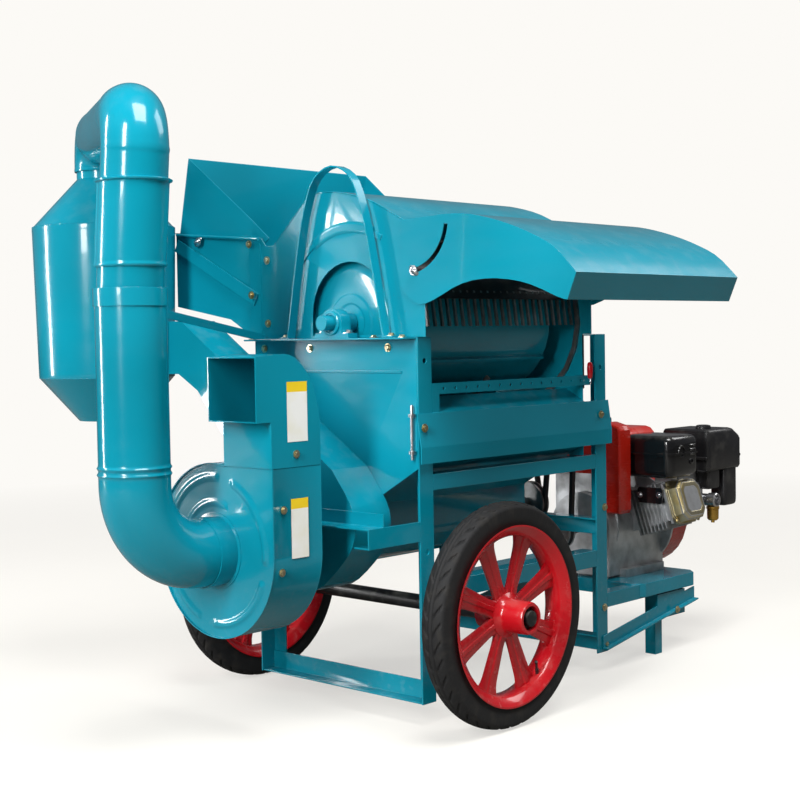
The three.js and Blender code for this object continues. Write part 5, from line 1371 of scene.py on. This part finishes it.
@dataclass
class Studio:
    """The camera at the photograph's viewpoint, soft lamps, a pale floor and a pale surround."""

    eye: Triple = (1717.5, -1886.1, 661.2)
    right: Triple = (0.7311, 0.6821, -0.0163)
    down: Triple = (0.0185, -0.0437, -0.9989)
    ahead: Triple = (-0.6820, 0.7300, -0.0446)
    lens: float = 64.87
    floor_reach: float = 60.0
    floor_glow: float = 0.6
    floor_bounce: Triple = (128, 126, 120)
    floor_pale: Triple = (240, 237, 229)
    floor_light: Triple = (243, 240, 232)
    fade_from: float = 1.2
    fade_to: float = 4.5
    backdrop: Triple = (252, 250, 246)
    sky: Triple = (236, 238, 244)
    sky_strength: float = 0.16
    aim: Triple = (0.0, 0.0, 0.55)
    lights: tuple[tuple[str, Triple, float, float, float], ...] = (
        ("key", (1.1, -4.0, 2.2), 0.7, 2.8, 190.0), ("side", (-3.0, -2.6, 1.5), 0.25, 2.8, 95.0),
        ("rim", (1.5, 3.4, 3.4), 2.0, 2.0, 62.0), ("top", (1.5, -0.7, 3.7), 1.8, 1.8, 145.0))

    def make(self) -> None:
        """Sets the stage."""
        self.camera()
        self.floor()
        self.surround()
        self.lamps()
        bpy.context.scene.view_settings.view_transform = "Standard"

    def camera(self) -> None:
        """Puts the camera where its three directions were solved from the photograph."""
        data = bpy.data.cameras.new("camera")
        data.lens, data.sensor_width, data.clip_end = self.lens, 36.0, 300.0
        camera = bpy.data.objects.new("camera", data)
        bpy.context.scene.collection.objects.link(camera)
        turn = Matrix([self.right, [-c for c in self.down], [-c for c in self.ahead]]).transposed().to_4x4()
        turn.normalize()
        camera.matrix_world = Matrix.Translation(Vector(place(np.array(self.eye)))) @ turn
        bpy.context.scene.camera = camera

    def floor(self) -> None:
        """A wide pale floor with the object's shadow, which turns into the plain surround with distance."""
        s = self.floor_reach
        mesh = bpy.data.meshes.new("floor")
        mesh.from_pydata([(-s, -s, 0), (s, -s, 0), (s, s, 0), (-s, s, 0)], [], [(0, 1, 2, 3)])
        floor = bpy.data.objects.new("floor", mesh)
        bpy.context.scene.collection.objects.link(floor)
        graph = Graph("pale_floor")
        seen = graph.node("ShaderNodeLightPath", output="Is Camera Ray")
        speckle = graph.noise(3.0, 4.0).above(0.3, 0.7)
        pale = graph.blend(speckle, linear(self.floor_light), linear(self.floor_pale))
        colour = graph.blend(seen, linear(self.floor_bounce), pale)
        graph.finish({"Base Color": colour}, {"Roughness": 0.9, "Specular IOR Level": 0.1})
        away = graph.node("ShaderNodeVectorMath", {"operation": "LENGTH"}, {0: graph.coords}, output="Value")
        share = seen * (away.above(self.fade_from, self.fade_to) * (1 - self.floor_glow) + self.floor_glow)
        glow = graph.node("ShaderNodeEmission", None, {"Color": linear(self.backdrop), "Strength": 1.0})
        diffuse = Value(graph, graph.shader.outputs["BSDF"])
        mixed = graph.node("ShaderNodeMixShader", None, {0: share, 1: diffuse, 2: glow})
        graph.tree.links.new(mixed.socket, graph.tree.nodes["Material Output"].inputs["Surface"])
        mesh.materials.append(graph.material)

    def surround(self) -> None:
        """An even pale surround, bright where the camera sees it and dim where it lights the machine."""
        world = bpy.data.worlds.new("surround")
        bpy.context.scene.world = world
        world.use_nodes = True
        nodes, links = world.node_tree.nodes, world.node_tree.links
        nodes.clear()
        mix = nodes.new("ShaderNodeMixShader")
        links.new(nodes.new("ShaderNodeLightPath").outputs["Is Camera Ray"], mix.inputs[0])
        lights = ((self.sky, self.sky_strength), (self.backdrop, 1.0))
        for number, (colour, strength) in enumerate(lights, start=1):
            light = nodes.new("ShaderNodeBackground")
            light.inputs["Color"].default_value = linear(colour)
            light.inputs["Strength"].default_value = strength
            links.new(light.outputs[0], mix.inputs[number])
        links.new(mix.outputs[0], nodes.new("ShaderNodeOutputWorld").inputs["Surface"])

    def lamps(self) -> None:
        """A tall key lamp in front, a narrow one at the left for gloss, one behind and one above."""
        for name, place_at, width, height, watts in self.lights:
            data = bpy.data.lights.new(name, "AREA")
            data.shape, data.size, data.size_y, data.energy = "RECTANGLE", width, height, watts
            lamp = bpy.data.objects.new(name, data)
            bpy.context.scene.collection.objects.link(lamp)
            lamp.location = place_at
            aim = Vector(self.aim) - Vector(place_at)
            lamp.rotation_euler = aim.to_track_quat("-Z", "Y").to_euler()


@dataclass
class Fasteners:
    """Bolts, nuts and washers where plates, rails, bearings and guards are joined."""

    def make(self) -> None:
        """Builds each group of bolts on the body that carries it."""
        right = [(0.1, y, z, Axis.RIGHT)
                 for y, z in ((14, 498), (565, 301), (562, 93), (565, 16), (559, 496), (14, 90))]
        left = [(-433.1, y, z, Axis.LEFT)
                for y, z in ((14, 498), (565, 301), (562, 93), (14, 90), (559, 496))]
        flange = [(x, -18, 658.1, Axis.UP) for x in (-420, -90, -20)]
        panel = [(x, -0.1, 640, Axis.FRONT) for x in (-405, -276, -72)]
        walls = [(-431, -12.4, 845, Axis.FRONT), (-422, -16.4, 745, Axis.FRONT)]
        walls += [(-393, -0.1, z, Axis.FRONT) for z in (812, 689)]
        walls += [(9.1, y, z, Axis.RIGHT) for y, z in ((5, 497), (543, 494))] + [(14.4, 816, 52, Axis.RIGHT)]
        bearing = [(x, y, 667.4, Axis.UP) for y in (-20, 515) for x in (-218, -152)]
        guard = [(x, -17, 661.4, Axis.UP) for x in (-323, -47)]
        housing = [(x, y, z, Axis.RIGHT)
                   for x, y, z in ((-63.4, -238, 465), (-63.4, -269, 373), (-66.0, -273, 268))]
        for group in (Bolts("frame_bolts", right + left + flange + panel + walls),
                      Bolts("bearing_bolts", bearing, 12.0, Finish.BRIGHT), Bolts("guard_bolts", guard),
                      Bolts("housing_bolts", housing, 8.0)):
            group.make()


def main() -> None:
    """Builds every sub-assembly in order, then the stage."""
    logging.basicConfig(level=logging.INFO)
    for assembly in (AirPipes(), CycloneShell(), RoadWheels(), FanHousing(), Engine(), DrumEnd(), WingNuts(),
                     WallTrim(), DressedNodes(), Fasteners(), Labels(), Studio()):
        assembly.make()


if __name__ == "__main__":
    main()
